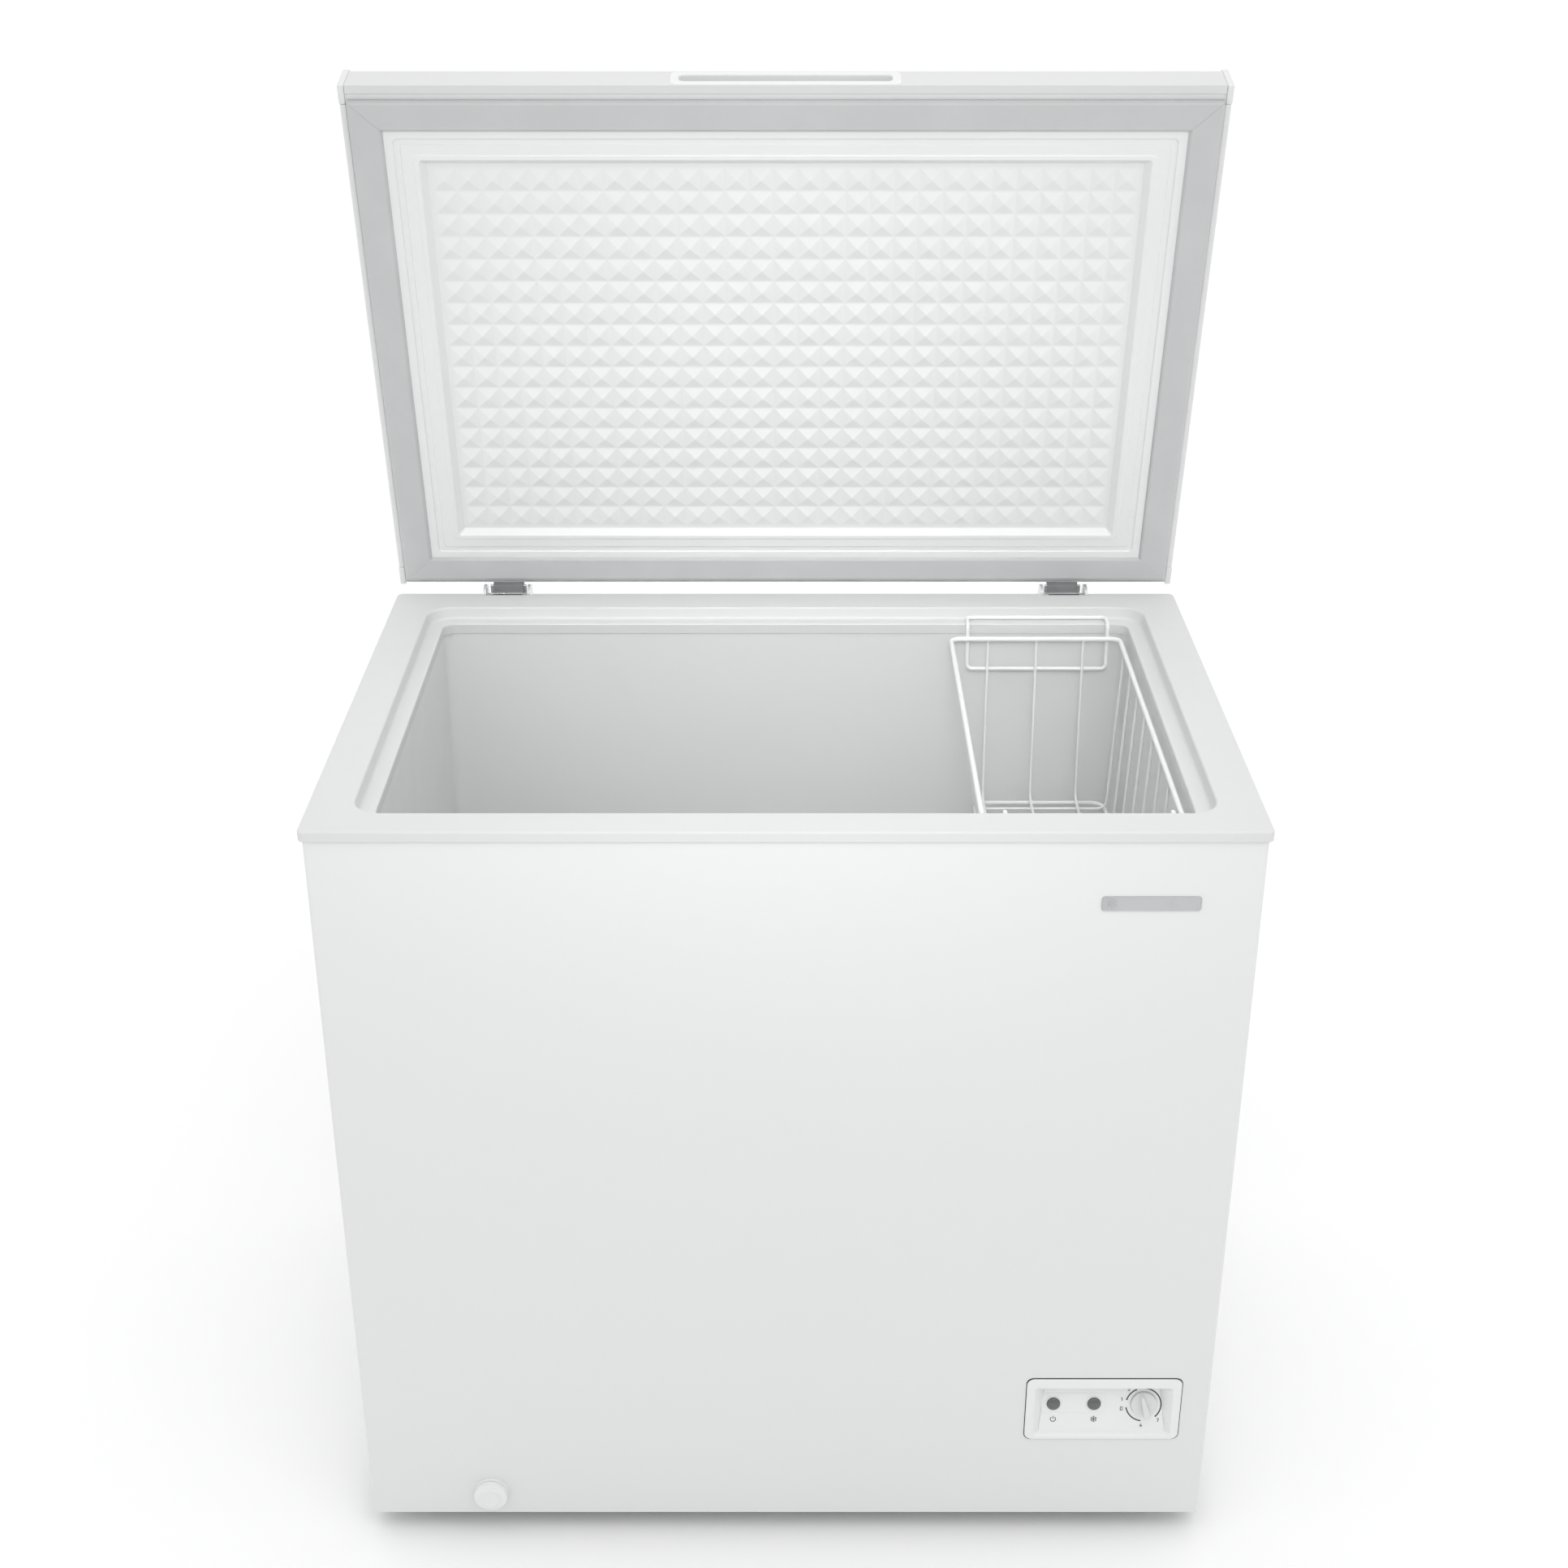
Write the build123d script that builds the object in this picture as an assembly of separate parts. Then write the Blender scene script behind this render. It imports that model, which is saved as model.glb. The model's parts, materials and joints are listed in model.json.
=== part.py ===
from build123d import *
from math import atan, cos, degrees, radians, sin, tan
import os

# Chest freezer of about 7 cubic feet, with its lid standing open.
# Millimetres, +Z up, front towards -Y. The origin is on the floor, under the centre of the open
# freezer's box.
# Depths are counted backwards from the rim's front edge, and drops downwards from the rim's top face.
# The lid's pieces are laid out closed, and turned up about the hinge axis as the last step.

# Cabinet
PANEL_W = 810.0
PANEL_H = 744.0
FOOT_H = 22.0
RIM_LIP = 3.25
RIM_D = 548.0
RIM_H = 9.4
SHEET = 1.0
BEND_R = 4.0

# Rim collar
RIM_PLATE = 2.5
RECESS_X = 369.0
RECESS_FRONT = 37.0
RECESS_REAR = 508.0
RECESS_DROP = 12.0
RECESS_R = 25.0
MOUTH_X = 352.5
MOUTH_FRONT = 53.0
MOUTH_REAR = 492.0
MOUTH_R = 12.0
SKIRT_T = 1.5
SKIRT_H = 11.0

# Liner and compressor bay
LINER_X = 354.0
LINER_FRONT = 51.0
LINER_REAR = 494.0
LINER_FLOOR_Z = 85.0
LINER_R = 12.0
HUMP_X = 168.0
HUMP_Z = 325.0
BAY_X = 214.0
BAY_Z = 275.0
SEAM_X = 149.0

# Lid, closed
LID_W = 816.5
LID_D = 539.0
LID_REAR = 542.0
LID_GAP = 8.0
LID_SKIN_H = 39.5
LID_TRIM_H = 44.0
LID_TRIM_W = 6.5
LID_CAP_L = 18.0
LID_CAP_OVERHANG = 3.0
LID_EDGE_R = 7.0
LID_HEM = 8.0
GASKET_X = 400.5
GASKET_REAR = 3.0
GASKET_FRONT = 526.0
GASKET_H = 7.7
PLATEAU_X = 372.5
PLATEAU_REAR = 32.7
PLATEAU_FRONT = 497.5
PLATEAU_H = 5.5
FIELD_INSET = 27.0
FIELD_SLOPE = 7.0
FIELD_DEPTH = 6.5
LINER_SHEET = 2.5

# Lid handle
HANDLE_W = 212.0
HANDLE_LOW = 1.5
HANDLE_HIGH = 31.5
SLOT_W = 195.0
SLOT_LOW = 9.5
SLOT_HIGH = 25.0
SLOT_DEPTH = 24.0

# Hinges
LID_OPEN = 77.4
HINGE_BEHIND_RIM = 4.9
HINGE_DROP = 8.7
HINGE_X = 293.0
HINGE_W = 49.0
EAR_T = 3.0
EAR_R = 16.0
ARM_W = 32.0
ARM_T = 3.0
PIN_R = 3.0
PIN_CLEARANCE = 0.05

# Control panel
CONTROL_X = 303.5
CONTROL_Z = FOOT_H + 131.0
CONTROL_W = 149.0
CONTROL_H = 75.0
CONTROL_R = 7.0
CONTROL_FRAME = 8.5
CONTROL_BAR_LOW = 4.5
CONTROL_BAR_HIGH = 13.2
CONTROL_RECESS = 9.0
CONTROL_TILT = 15.0
CONTROL_WALL = 2.0
LAMP_XS = (257.0, 296.0)
LAMP_R = 6.5
LAMP_PROUD = 3.0
DIAL_X = 343.5
KNOB_R = 12.5
KNOB_LEAN = 15.0

# Drain
DRAIN_X = -287.5
DRAIN_Z = FOOT_H + 26.0
DRAIN_DEPTH = 100.0
DRAIN_TUBE_R = 10.0
DRAIN_BORE_R = 8.0
CAP_R = 17.0
CAP_PROUD = 9.0

# Basket
BASKET_LEFT = 170.5
BASKET_RIGHT = 344.5
BASKET_FRONT = 65.0
BASKET_REAR = 480.0
BASKET_DROP = 24.0
BASKET_FLOOR_DROP = 205.0
BASKET_FLOOR = (200.0, 337.0, 80.0, 465.0)
FRAME_WIRE_R = 2.5
FLOOR_WIRE_R = 2.0
THIN_WIRE_R = 1.4
HANGER_WIRE_R = 2.0
LEDGE_GAP = 0.3

# Places worked out from the dimensions above
RIM_Z = FOOT_H + PANEL_H + RIM_H
RIM_W = PANEL_W + 2 * RIM_LIP
AXIS_DEPTH = RIM_D + HINGE_BEHIND_RIM
AXIS_Z = RIM_Z - HINGE_DROP
LID_Z = RIM_Z + LID_GAP
LID_TOP_Z = LID_Z + LID_TRIM_H
_corner_y = LID_REAR + LID_CAP_OVERHANG - AXIS_DEPTH
_corner_z = LID_TOP_Z - AXIS_Z
REAR_REACH = AXIS_DEPTH + _corner_y * cos(radians(LID_OPEN)) + _corner_z * sin(radians(LID_OPEN))
FRONT_REACH = RIM_LIP - CAP_PROUD
RIM_Y = -(REAR_REACH + FRONT_REACH) / 2


def y_at(depth):
    """The y of a plane at this depth behind the rim's front edge."""
    return RIM_Y + depth


def z_at(drop):
    """The z of a plane at this drop below the rim's top face."""
    return RIM_Z - drop


def point(x, depth, z):
    return (x, y_at(depth), z)


def block(x0, x1, d0, d1, z0, z1, r=0.0):
    """A box between two depths, with its upright edges rounded where r is given."""
    if r > 0:
        base = Plane(origin=point((x0 + x1) / 2, (d0 + d1) / 2, z0))
        outline = base * RectangleRounded(x1 - x0, d1 - d0, r)
        return extrude(outline, z1 - z0)
    return Pos(*point((x0 + x1) / 2, (d0 + d1) / 2, (z0 + z1) / 2)) * Box(x1 - x0, d1 - d0, z1 - z0)


def front_plate(x0, x1, z0, z1, d0, d1, r):
    """A plate that faces front, with its four corners rounded, between two depths."""
    face = Plane(origin=point((x0 + x1) / 2, d1, (z0 + z1) / 2), x_dir=(1, 0, 0), z_dir=(0, -1, 0))
    return extrude(face * RectangleRounded(x1 - x0, z1 - z0, r), d1 - d0)


def front_disc(x, z, d0, d1, r, r_front=None):
    """A round piece on a front-to-back axis; r_front makes it a cone that is r_front wide at d0."""
    middle = Plane(origin=point(x, (d0 + d1) / 2, z), x_dir=(1, 0, 0), z_dir=(0, -1, 0))
    if r_front is None:
        return middle * Cylinder(r, d1 - d0)
    return middle * Cone(r, r_front, d1 - d0)


def side_prism(outline, x0, x1):
    """Extrudes an outline of (depth, z) points from x0 to x1."""
    face = make_face(Polyline(*[point(x0, d, z) for d, z in outline], close=True))
    return extrude(face, x1 - x0, dir=(1, 0, 0))


def cross_disc(x0, x1, depth, z, r):
    """A round bar on a left-to-right axis."""
    middle = Plane(origin=point((x0 + x1) / 2, depth, z), x_dir=(0, 1, 0), z_dir=(1, 0, 0))
    return middle * Cylinder(r, x1 - x0)


def rod(points, wire_r, bend, close=False):
    """A round wire or pipe along straight runs joined by bends; bend is one radius or one for each corner."""
    path = FilletPolyline(*[point(*p) for p in points], radius=bend, close=close)
    return sweep(Plane(origin=path @ 0, z_dir=path % 0) * Circle(wire_r), path=path)


def ring_rod(x0, x1, d0, d1, z, wire_r, corner):
    """A flat closed loop of wire with rounded corners."""
    straight = Plane(origin=point((x0 + x1) / 2, d0, z), x_dir=(0, 0, 1), z_dir=(1, 0, 0)) * Circle(wire_r)
    level = Plane(origin=point((x0 + x1) / 2, (d0 + d1) / 2, z))
    outline = level * RectangleRounded(x1 - x0, d1 - d0, corner)
    return sweep(straight, path=outline.wire())


def opened(shape):
    """Turns a piece of the closed lid up to where it stands open."""
    return shape.rotate(Axis(point(0, AXIS_DEPTH, AXIS_Z), (-1, 0, 0)), LID_OPEN)


def save(name, *shapes):
    solids = [solid for shape in shapes for solid in shape.solids()]
    piece = solids[0] if len(solids) == 1 else Compound(children=solids)
    export_step(piece, "parts/" + name + ".step")


os.makedirs("parts", exist_ok=True)

# ---------------------------------------------------------------- cabinet shell

WRAP_X = PANEL_W / 2
WRAP_FRONT = RIM_LIP
WRAP_REAR = RIM_D - RIM_LIP
WRAP_TOP = RIM_Z - RIM_PLATE
INNER_X = WRAP_X - SHEET
INNER_FRONT = WRAP_FRONT + SHEET
INNER_REAR = WRAP_REAR - SHEET
BASE_TOP = FOOT_H + SHEET


def bent_front(half_width, front, rear, z0, z1, r):
    """A block whose two front upright edges are rounded like the bends of the outer sheet."""
    rounded = block(-half_width, half_width, front, front + 4 * r, z0, z1, r)
    return rounded + block(-half_width, half_width, front + 2 * r, rear, z0, z1)


control_left = CONTROL_X - CONTROL_W / 2
control_right = CONTROL_X + CONTROL_W / 2
control_low = CONTROL_Z - CONTROL_H / 2
control_high = CONTROL_Z + CONTROL_H / 2
PANEL_CUT = 2.0

outer_wrapper = bent_front(WRAP_X, WRAP_FRONT, WRAP_REAR, FOOT_H, WRAP_TOP, BEND_R)
outer_wrapper -= bent_front(INNER_X, INNER_FRONT, WRAP_REAR + SHEET, FOOT_H - SHEET, WRAP_TOP + SHEET,
                            BEND_R - SHEET)
outer_wrapper -= front_plate(control_left + PANEL_CUT, control_right - PANEL_CUT, control_low + PANEL_CUT,
                             control_high - PANEL_CUT, 0, INNER_FRONT + SHEET, CONTROL_R - PANEL_CUT)
outer_wrapper -= front_disc(DRAIN_X, DRAIN_Z, 0, INNER_FRONT + SHEET, DRAIN_TUBE_R + 0.1)
save("outer_wrapper", outer_wrapper)

COVER_LEFT = 222.0
COVER_RIGHT = 396.0
COVER_LOW = FOOT_H + 10.0
COVER_HIGH = BAY_Z - 8.0
COVER_LAP = 10.0
HINGE_SCREW_DROPS = (32.0, 78.0)
HINGE_SCREW_X = 14.0
SCREW_R = 2.0
SCREW_HOLE_R = 2.1

rear_panel = block(-INNER_X, INNER_X, INNER_REAR, WRAP_REAR, BASE_TOP, WRAP_TOP)
rear_panel -= block(COVER_LEFT + COVER_LAP, COVER_RIGHT - COVER_LAP, INNER_REAR - 1, WRAP_REAR + 1,
                    COVER_LOW + COVER_LAP, COVER_HIGH - COVER_LAP)
for side in (-1, 1):
    for dx in (-HINGE_SCREW_X, HINGE_SCREW_X):
        for drop in HINGE_SCREW_DROPS:
            rear_panel -= front_disc(side * HINGE_X + dx, z_at(drop), INNER_REAR - 1, WRAP_REAR + 1,
                                     SCREW_HOLE_R)
COVER_SCREWS = [(x, z) for x in (COVER_LEFT + 5, COVER_RIGHT - 5) for z in (COVER_LOW + 5, COVER_HIGH - 5)]
for x, z in COVER_SCREWS:
    rear_panel -= front_disc(x, z, INNER_REAR - 1, WRAP_REAR + 1, SCREW_HOLE_R)
save("rear_panel", rear_panel)

def inside_wrapper(z0, z1):
    """The space that the bent outer sheet leaves, between two heights."""
    return bent_front(INNER_X, INNER_FRONT, INNER_REAR, z0, z1, BEND_R - SHEET)


bottom_panel = inside_wrapper(FOOT_H, BASE_TOP)
bottom_panel -= block(BAY_X - SHEET, WRAP_X, 0, RIM_D, FOOT_H - 1, BASE_TOP + 1)
save("bottom_panel", bottom_panel)

BASE_PLATE_T = 3.0
compressor_base_plate = inside_wrapper(FOOT_H, FOOT_H + BASE_PLATE_T)
compressor_base_plate -= block(-WRAP_X, BAY_X - SHEET, 0, RIM_D, FOOT_H - 1, FOOT_H + BASE_PLATE_T + 1)
VENT_ROWS = 7
for i in range(VENT_ROWS):
    depth = 150.0 + i * 14.0
    compressor_base_plate -= block(BAY_X + 30, INNER_X - 30, depth, depth + 5, FOOT_H - 1,
                                   FOOT_H + BASE_PLATE_T + 1)
BAY_FLOOR_Z = FOOT_H + BASE_PLATE_T

FOOT_R = 20.0
FOOT_INSET = 62.0
feet = []
for x in (-WRAP_X + FOOT_INSET, WRAP_X - FOOT_INSET):
    for depth in (WRAP_FRONT + FOOT_INSET, WRAP_REAR - FOOT_INSET):
        foot = Pos(*point(x, depth, FOOT_H / 2)) * Cylinder(FOOT_R, FOOT_H)
        feet.append(chamfer(foot.edges().group_by(Axis.Z)[0], 3))
save("feet", *feet)

# ---------------------------------------------------------------- rim collar

rim_collar = block(-RIM_W / 2, RIM_W / 2, 0, RIM_D, RIM_Z - RIM_H, RIM_Z, BEND_R + 2)
top_edges = rim_collar.edges().filter_by(lambda e: abs(e.center().Z - RIM_Z) < 0.01)
rim_collar = fillet(top_edges, 1.2)
inside = bent_front(WRAP_X, WRAP_FRONT, WRAP_REAR, RIM_Z - RIM_H - 1, WRAP_TOP, BEND_R)
rim_collar -= inside
LEDGE_LOW = RECESS_DROP + RIM_PLATE
wall_outer = block(-RECESS_X - RIM_PLATE, RECESS_X + RIM_PLATE, RECESS_FRONT - RIM_PLATE,
                   RECESS_REAR + RIM_PLATE, z_at(LEDGE_LOW), WRAP_TOP, RECESS_R + RIM_PLATE)
skirt = block(-MOUTH_X - SKIRT_T, MOUTH_X + SKIRT_T, MOUTH_FRONT - SKIRT_T, MOUTH_REAR + SKIRT_T,
              z_at(RECESS_DROP + SKIRT_H), z_at(RECESS_DROP), MOUTH_R + SKIRT_T)
rim_collar += wall_outer + skirt
recess = block(-RECESS_X, RECESS_X, RECESS_FRONT, RECESS_REAR, z_at(RECESS_DROP), RIM_Z + 1, RECESS_R)
mouth = block(-MOUTH_X, MOUTH_X, MOUTH_FRONT, MOUTH_REAR, z_at(RECESS_DROP + SKIRT_H + 1), RIM_Z + 1, MOUTH_R)
rim_collar -= recess + mouth
HINGE_NOTCH = HINGE_W / 2 + 1.5
for side in (-1, 1):
    centre = side * HINGE_X
    rim_collar -= block(centre - HINGE_NOTCH, centre + HINGE_NOTCH, WRAP_REAR, RIM_D + 1, z_at(RIM_H + 1),
                        RIM_Z + 1)
save("rim_collar", rim_collar)

# ---------------------------------------------------------------- liner

FLANGE_Z = z_at(LEDGE_LOW)


def liner_space(grow, top):
    """The stepped inside of the liner, grown outwards by the thickness of its sheet."""
    main = block(-LINER_X - grow, LINER_X + grow, LINER_FRONT - grow, LINER_REAR + grow,
                 HUMP_Z - grow, top, LINER_R + grow)
    low = block(-LINER_X - grow, HUMP_X + grow, LINER_FRONT - grow, LINER_REAR + grow,
                LINER_FLOOR_Z - grow, HUMP_Z + 2 * LINER_R, LINER_R + grow)
    return main + low


FLANGE_X = 366.0
FLANGE_LAP = FLANGE_X - LINER_X
flange = block(-FLANGE_X, FLANGE_X, LINER_FRONT - FLANGE_LAP, LINER_REAR + FLANGE_LAP,
               FLANGE_Z - SHEET, FLANGE_Z, RECESS_R - 4)
PLUG_SEAT_R = 16.0
inner_liner = liner_space(SHEET, FLANGE_Z) + flange
inner_liner -= liner_space(0, FLANGE_Z + 1)
inner_liner -= Pos(*point(DRAIN_X, DRAIN_DEPTH, LINER_FLOOR_Z)) * Cylinder(PLUG_SEAT_R, 3 * SHEET)
save("inner_liner", inner_liner)

SEAM_W = 12.0
SEAM_T = 0.6
SKIRT_LOW_Z = z_at(RECESS_DROP + SKIRT_H)
liner_seam_strip = block(SEAM_X - SEAM_W / 2, SEAM_X + SEAM_W / 2, LINER_REAR - SEAM_T, LINER_REAR,
                         LINER_FLOOR_Z + 4, SKIRT_LOW_Z - 2)
save("liner_seam_strip", liner_seam_strip)

# ---------------------------------------------------------------- cooling circuit

EVAP_R = 4.0
EVAP_BEND = 15.0
PIPE_STANDOFF = 0.6
EVAP_LEVELS = 8
EVAP_LOW = 380.0
EVAP_STEP = 50.0
EVAP_START_X = 300.0
EVAP_TURN = 470.0
evap_x = LINER_X + SHEET + PIPE_STANDOFF + EVAP_R
evap_front = LINER_FRONT - SHEET - PIPE_STANDOFF - EVAP_R
evap_rear = LINER_REAR + SHEET + PIPE_STANDOFF + EVAP_R
EVAP_TAIL_X = 330.0
TAIL_Z = BAY_Z - 25.0
evap_route = [(EVAP_START_X, evap_rear, TAIL_Z)]
lap = [(EVAP_START_X, evap_rear), (-evap_x, evap_rear), (-evap_x, evap_front), (evap_x, evap_front),
       (evap_x, EVAP_TURN)]
for level in range(EVAP_LEVELS):
    level_z = EVAP_LOW + level * EVAP_STEP
    stops = lap if level % 2 == 0 else lap[::-1]
    evap_route += [(x, d, level_z) for x, d in stops]
evap_route[-1] = (EVAP_TAIL_X, evap_rear, EVAP_LOW + (EVAP_LEVELS - 1) * EVAP_STEP)
evaporator_coil = rod(evap_route, EVAP_R, EVAP_BEND)
save("evaporator_coil", evaporator_coil)

COND_R = 2.5
COND_BEND = 25.0
COND_LOW = 90.0
COND_STEP = 104.0
cond_x = -(INNER_X - PIPE_STANDOFF - COND_R)
cond_front = INNER_FRONT + PIPE_STANDOFF + COND_R
COND_BACK = 515.0
DISCHARGE_X = BAY_X + 10.0
DISCHARGE_DEPTH = 60.0
DRIER_X = 385.0
DRIER_DEPTH = 22.0
DRIER_LOW = 150.0
DRIER_HIGH = 236.0
cond_ends = [190.0, 190.0, 350.0, 350.0, DRIER_X, DRIER_X]
cond_route = [(DISCHARGE_X, 35.0, COND_LOW), (DISCHARGE_X, cond_front, COND_LOW)]
for level in range(6):
    level_z = COND_LOW + level * COND_STEP
    inward = [(cond_x, cond_front, level_z), (cond_x, COND_BACK, level_z)]
    outward = [(cond_x, COND_BACK, level_z), (cond_x, cond_front, level_z),
               (cond_ends[level], cond_front, level_z)]
    if level % 2 == 0 and level > 0:
        inward = [(cond_ends[level - 1], cond_front, level_z)] + inward
    cond_route += inward if level % 2 == 0 else outward
cond_route += [(DRIER_X, cond_front, DRIER_HIGH + 24), (DRIER_X, DRIER_DEPTH, DRIER_HIGH + 24),
               (DRIER_X, DRIER_DEPTH, DRIER_HIGH)]
cond_bends = [8.0] + [COND_BEND] * (len(cond_route) - 5) + [7.0, 7.0]
condenser_coil = rod(cond_route, COND_R, cond_bends)
save("condenser_coil", condenser_coil)

DRIER_R = 9.0
DRIER_NECK = 12.0
drier_axis = Pos(*point(DRIER_X, DRIER_DEPTH, 0))
filter_drier = drier_axis * Pos(0, 0, (DRIER_LOW + DRIER_HIGH) / 2) * Cylinder(
    DRIER_R, DRIER_HIGH - DRIER_LOW - 2 * DRIER_NECK)
filter_drier += drier_axis * Pos(0, 0, DRIER_HIGH - DRIER_NECK / 2) * Cone(DRIER_R, COND_R + 1, DRIER_NECK)
filter_drier += drier_axis * Pos(0, 0, DRIER_LOW + DRIER_NECK / 2) * Cone(COND_R + 1, DRIER_R, DRIER_NECK)
save("filter_drier", filter_drier)

CAP_TUBE_R = 1.25
CAP_DEPTH = 62.0
cap_top_z = EVAP_LOW + (EVAP_LEVELS - 1) * EVAP_STEP
capillary_tube = rod(
    [(DRIER_X, DRIER_DEPTH, DRIER_LOW), (DRIER_X, DRIER_DEPTH, DRIER_LOW - 35),
     (DRIER_X, CAP_DEPTH, DRIER_LOW - 35), (DRIER_X, CAP_DEPTH, cap_top_z), (DRIER_X, evap_rear, cap_top_z),
     (EVAP_TAIL_X, evap_rear, cap_top_z)],
    CAP_TUBE_R, 12)
save("capillary_tube", capillary_tube)

# Compressor on its four rubber feet
COMP_X = (BAY_X + INNER_X) / 2
COMP_DEPTH = 380.0
COMP_R = 68.0
COMP_H = 160.0
COMP_WALL = 3.0
MOTOR_R = 40.0
GROMMET_H = 12.0
GROMMET_R = 12.0
STUD_R = 3.0
MOUNT_T = 3.0
mount_z = BAY_FLOOR_Z + GROMMET_H
comp_axis = Pos(*point(COMP_X, COMP_DEPTH, mount_z + MOUNT_T))


def capsule(r, h, lift, edge):
    body = comp_axis * Pos(0, 0, lift + h / 2) * Cylinder(r, h)
    return fillet(body.edges().filter_by(GeomType.CIRCLE), edge)


compressor_envelope = capsule(COMP_R, COMP_H, 0, 26)
compressor_shell = compressor_envelope - capsule(COMP_R - COMP_WALL, COMP_H - 2 * COMP_WALL, COMP_WALL, 23)
weld_belt = comp_axis * Pos(0, 0, COMP_H * 0.55) * (Cylinder(COMP_R + 5, 4) - Cylinder(COMP_R - 1, 4))
MOUNT_X = 72.0
MOUNT_Y = 60.0
mount_plate = block(COMP_X - MOUNT_X - 13, COMP_X + MOUNT_X + 13, COMP_DEPTH - MOUNT_Y - 13,
                    COMP_DEPTH + MOUNT_Y + 13, mount_z, mount_z + MOUNT_T, 12)
compressor_shell += weld_belt + mount_plate
STUDS = [(COMP_X + sx * MOUNT_X, COMP_DEPTH + sy * MOUNT_Y) for sx in (-1, 1) for sy in (-1, 1)]
grommets = []
bolts = []
for x, d in STUDS:
    compressor_shell -= Pos(*point(x, d, mount_z)) * Cylinder(STUD_R + 0.4, 4 * MOUNT_T)
    foot = Pos(*point(x, d, BAY_FLOOR_Z + GROMMET_H / 2)) * (Cylinder(GROMMET_R, GROMMET_H) - Cylinder(
        STUD_R + 0.2, GROMMET_H))
    grommets.append(foot)
    stud = Pos(*point(x, d, (BAY_FLOOR_Z + mount_z + MOUNT_T) / 2)) * Cylinder(STUD_R, GROMMET_H + MOUNT_T)
    nut = extrude(Plane(origin=point(x, d, mount_z + MOUNT_T)) * RegularPolygon(6, 6), 5)
    bolts.append(stud + nut)
save("compressor_shell", compressor_shell)
save("compressor_grommets", *grommets)
save("compressor_bolts", *bolts)
save("compressor_base_plate", compressor_base_plate)
save("compressor_motor", comp_axis * Pos(0, 0, COMP_H / 2) * Cylinder(MOTOR_R, COMP_H - 2 * COMP_WALL))

suction_line = rod(
    [(EVAP_START_X, evap_rear, TAIL_Z), (EVAP_START_X, evap_rear, 160), (EVAP_START_X, COMP_DEPTH, 160)],
    EVAP_R, 18) - compressor_envelope
save("suction_line", suction_line)
discharge_line = rod(
    [(COMP_X, COMP_DEPTH, COND_LOW), (COMP_X, DISCHARGE_DEPTH + 40, COND_LOW),
     (DISCHARGE_X, DISCHARGE_DEPTH + 40, COND_LOW), (DISCHARGE_X, 35.0, COND_LOW)],
    COND_R, 14) - compressor_envelope
save("discharge_line", discharge_line)

relay_cover = block(COMP_X - 22, COMP_X + 22, COMP_DEPTH - COMP_R - 26, COMP_DEPTH - COMP_R + 12, 118, 168, 5)
relay_cover -= compressor_envelope + weld_belt
save("relay_cover", relay_cover)

# Sheet wall between the bay and the foam, with holes for the pipes
bay_wall = inside_wrapper(BAY_FLOOR_Z, BAY_Z + SHEET)
bay_wall -= block(-WRAP_X, BAY_X - SHEET, 0, RIM_D, FOOT_H, BAY_Z + 2 * SHEET)
bay_wall -= block(BAY_X, INNER_X + 1, 0, RIM_D, FOOT_H, BAY_Z)
bay_wall -= cross_disc(BAY_X - 5, BAY_X + 5, cond_front, COND_LOW, COND_R)
for x, d, r in ((EVAP_START_X, evap_rear, EVAP_R), (DRIER_X, cond_front, COND_R),
                (DRIER_X, CAP_DEPTH, CAP_TUBE_R)):
    bay_wall -= Pos(*point(x, d, BAY_Z)) * Cylinder(r, 4 * SHEET)
save("bay_wall", bay_wall)

# ---------------------------------------------------------------- drain

drain_route = [(DRAIN_X, DRAIN_DEPTH, LINER_FLOOR_Z - SHEET), (DRAIN_X, DRAIN_DEPTH, DRAIN_Z),
               (DRAIN_X, WRAP_FRONT, DRAIN_Z)]
drain_solid = rod(drain_route, DRAIN_TUBE_R, 20)
drain_tube = drain_solid - rod(drain_route, DRAIN_BORE_R, 20)
save("drain_tube", drain_tube)

SEAT_T = 2.0
drain_seat = Pos(*point(DRAIN_X, DRAIN_DEPTH, LINER_FLOOR_Z - SHEET / 2)) * (
    Cylinder(PLUG_SEAT_R, SHEET) - Cylinder(DRAIN_BORE_R, SHEET))
save("drain_seat", drain_seat)

FLANGE_T = 2.5
drain_sleeve = front_disc(DRAIN_X, DRAIN_Z, WRAP_FRONT - FLANGE_T, WRAP_FRONT, CAP_R, CAP_R - 0.5)
drain_sleeve -= front_disc(DRAIN_X, DRAIN_Z, -5, WRAP_FRONT + 1, DRAIN_BORE_R)
save("drain_sleeve", drain_sleeve)

CAP_GAP = 0.3
STEM_R = 7.7
RIB_OUTER = 10.0
RIB_INNER = 8.4
RIB_T = 0.8
cap_front = FRONT_REACH
cap_back = WRAP_FRONT - FLANGE_T - CAP_GAP
drain_cap = front_disc(DRAIN_X, DRAIN_Z, cap_front + RIB_T, cap_back, CAP_R - 0.6, CAP_R - 1.4)
drain_cap += front_disc(DRAIN_X, DRAIN_Z, cap_front, cap_front + RIB_T + 1, RIB_OUTER)
drain_cap -= front_disc(DRAIN_X, DRAIN_Z, cap_front - 1, cap_front + RIB_T, RIB_INNER)
drain_cap += front_disc(DRAIN_X, DRAIN_Z, cap_back - 1, cap_back + 20, STEM_R)
drain_cap -= front_disc(DRAIN_X, DRAIN_Z, cap_back + 2, cap_back + 21, STEM_R - 2)
save("drain_cap", drain_cap)

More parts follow.
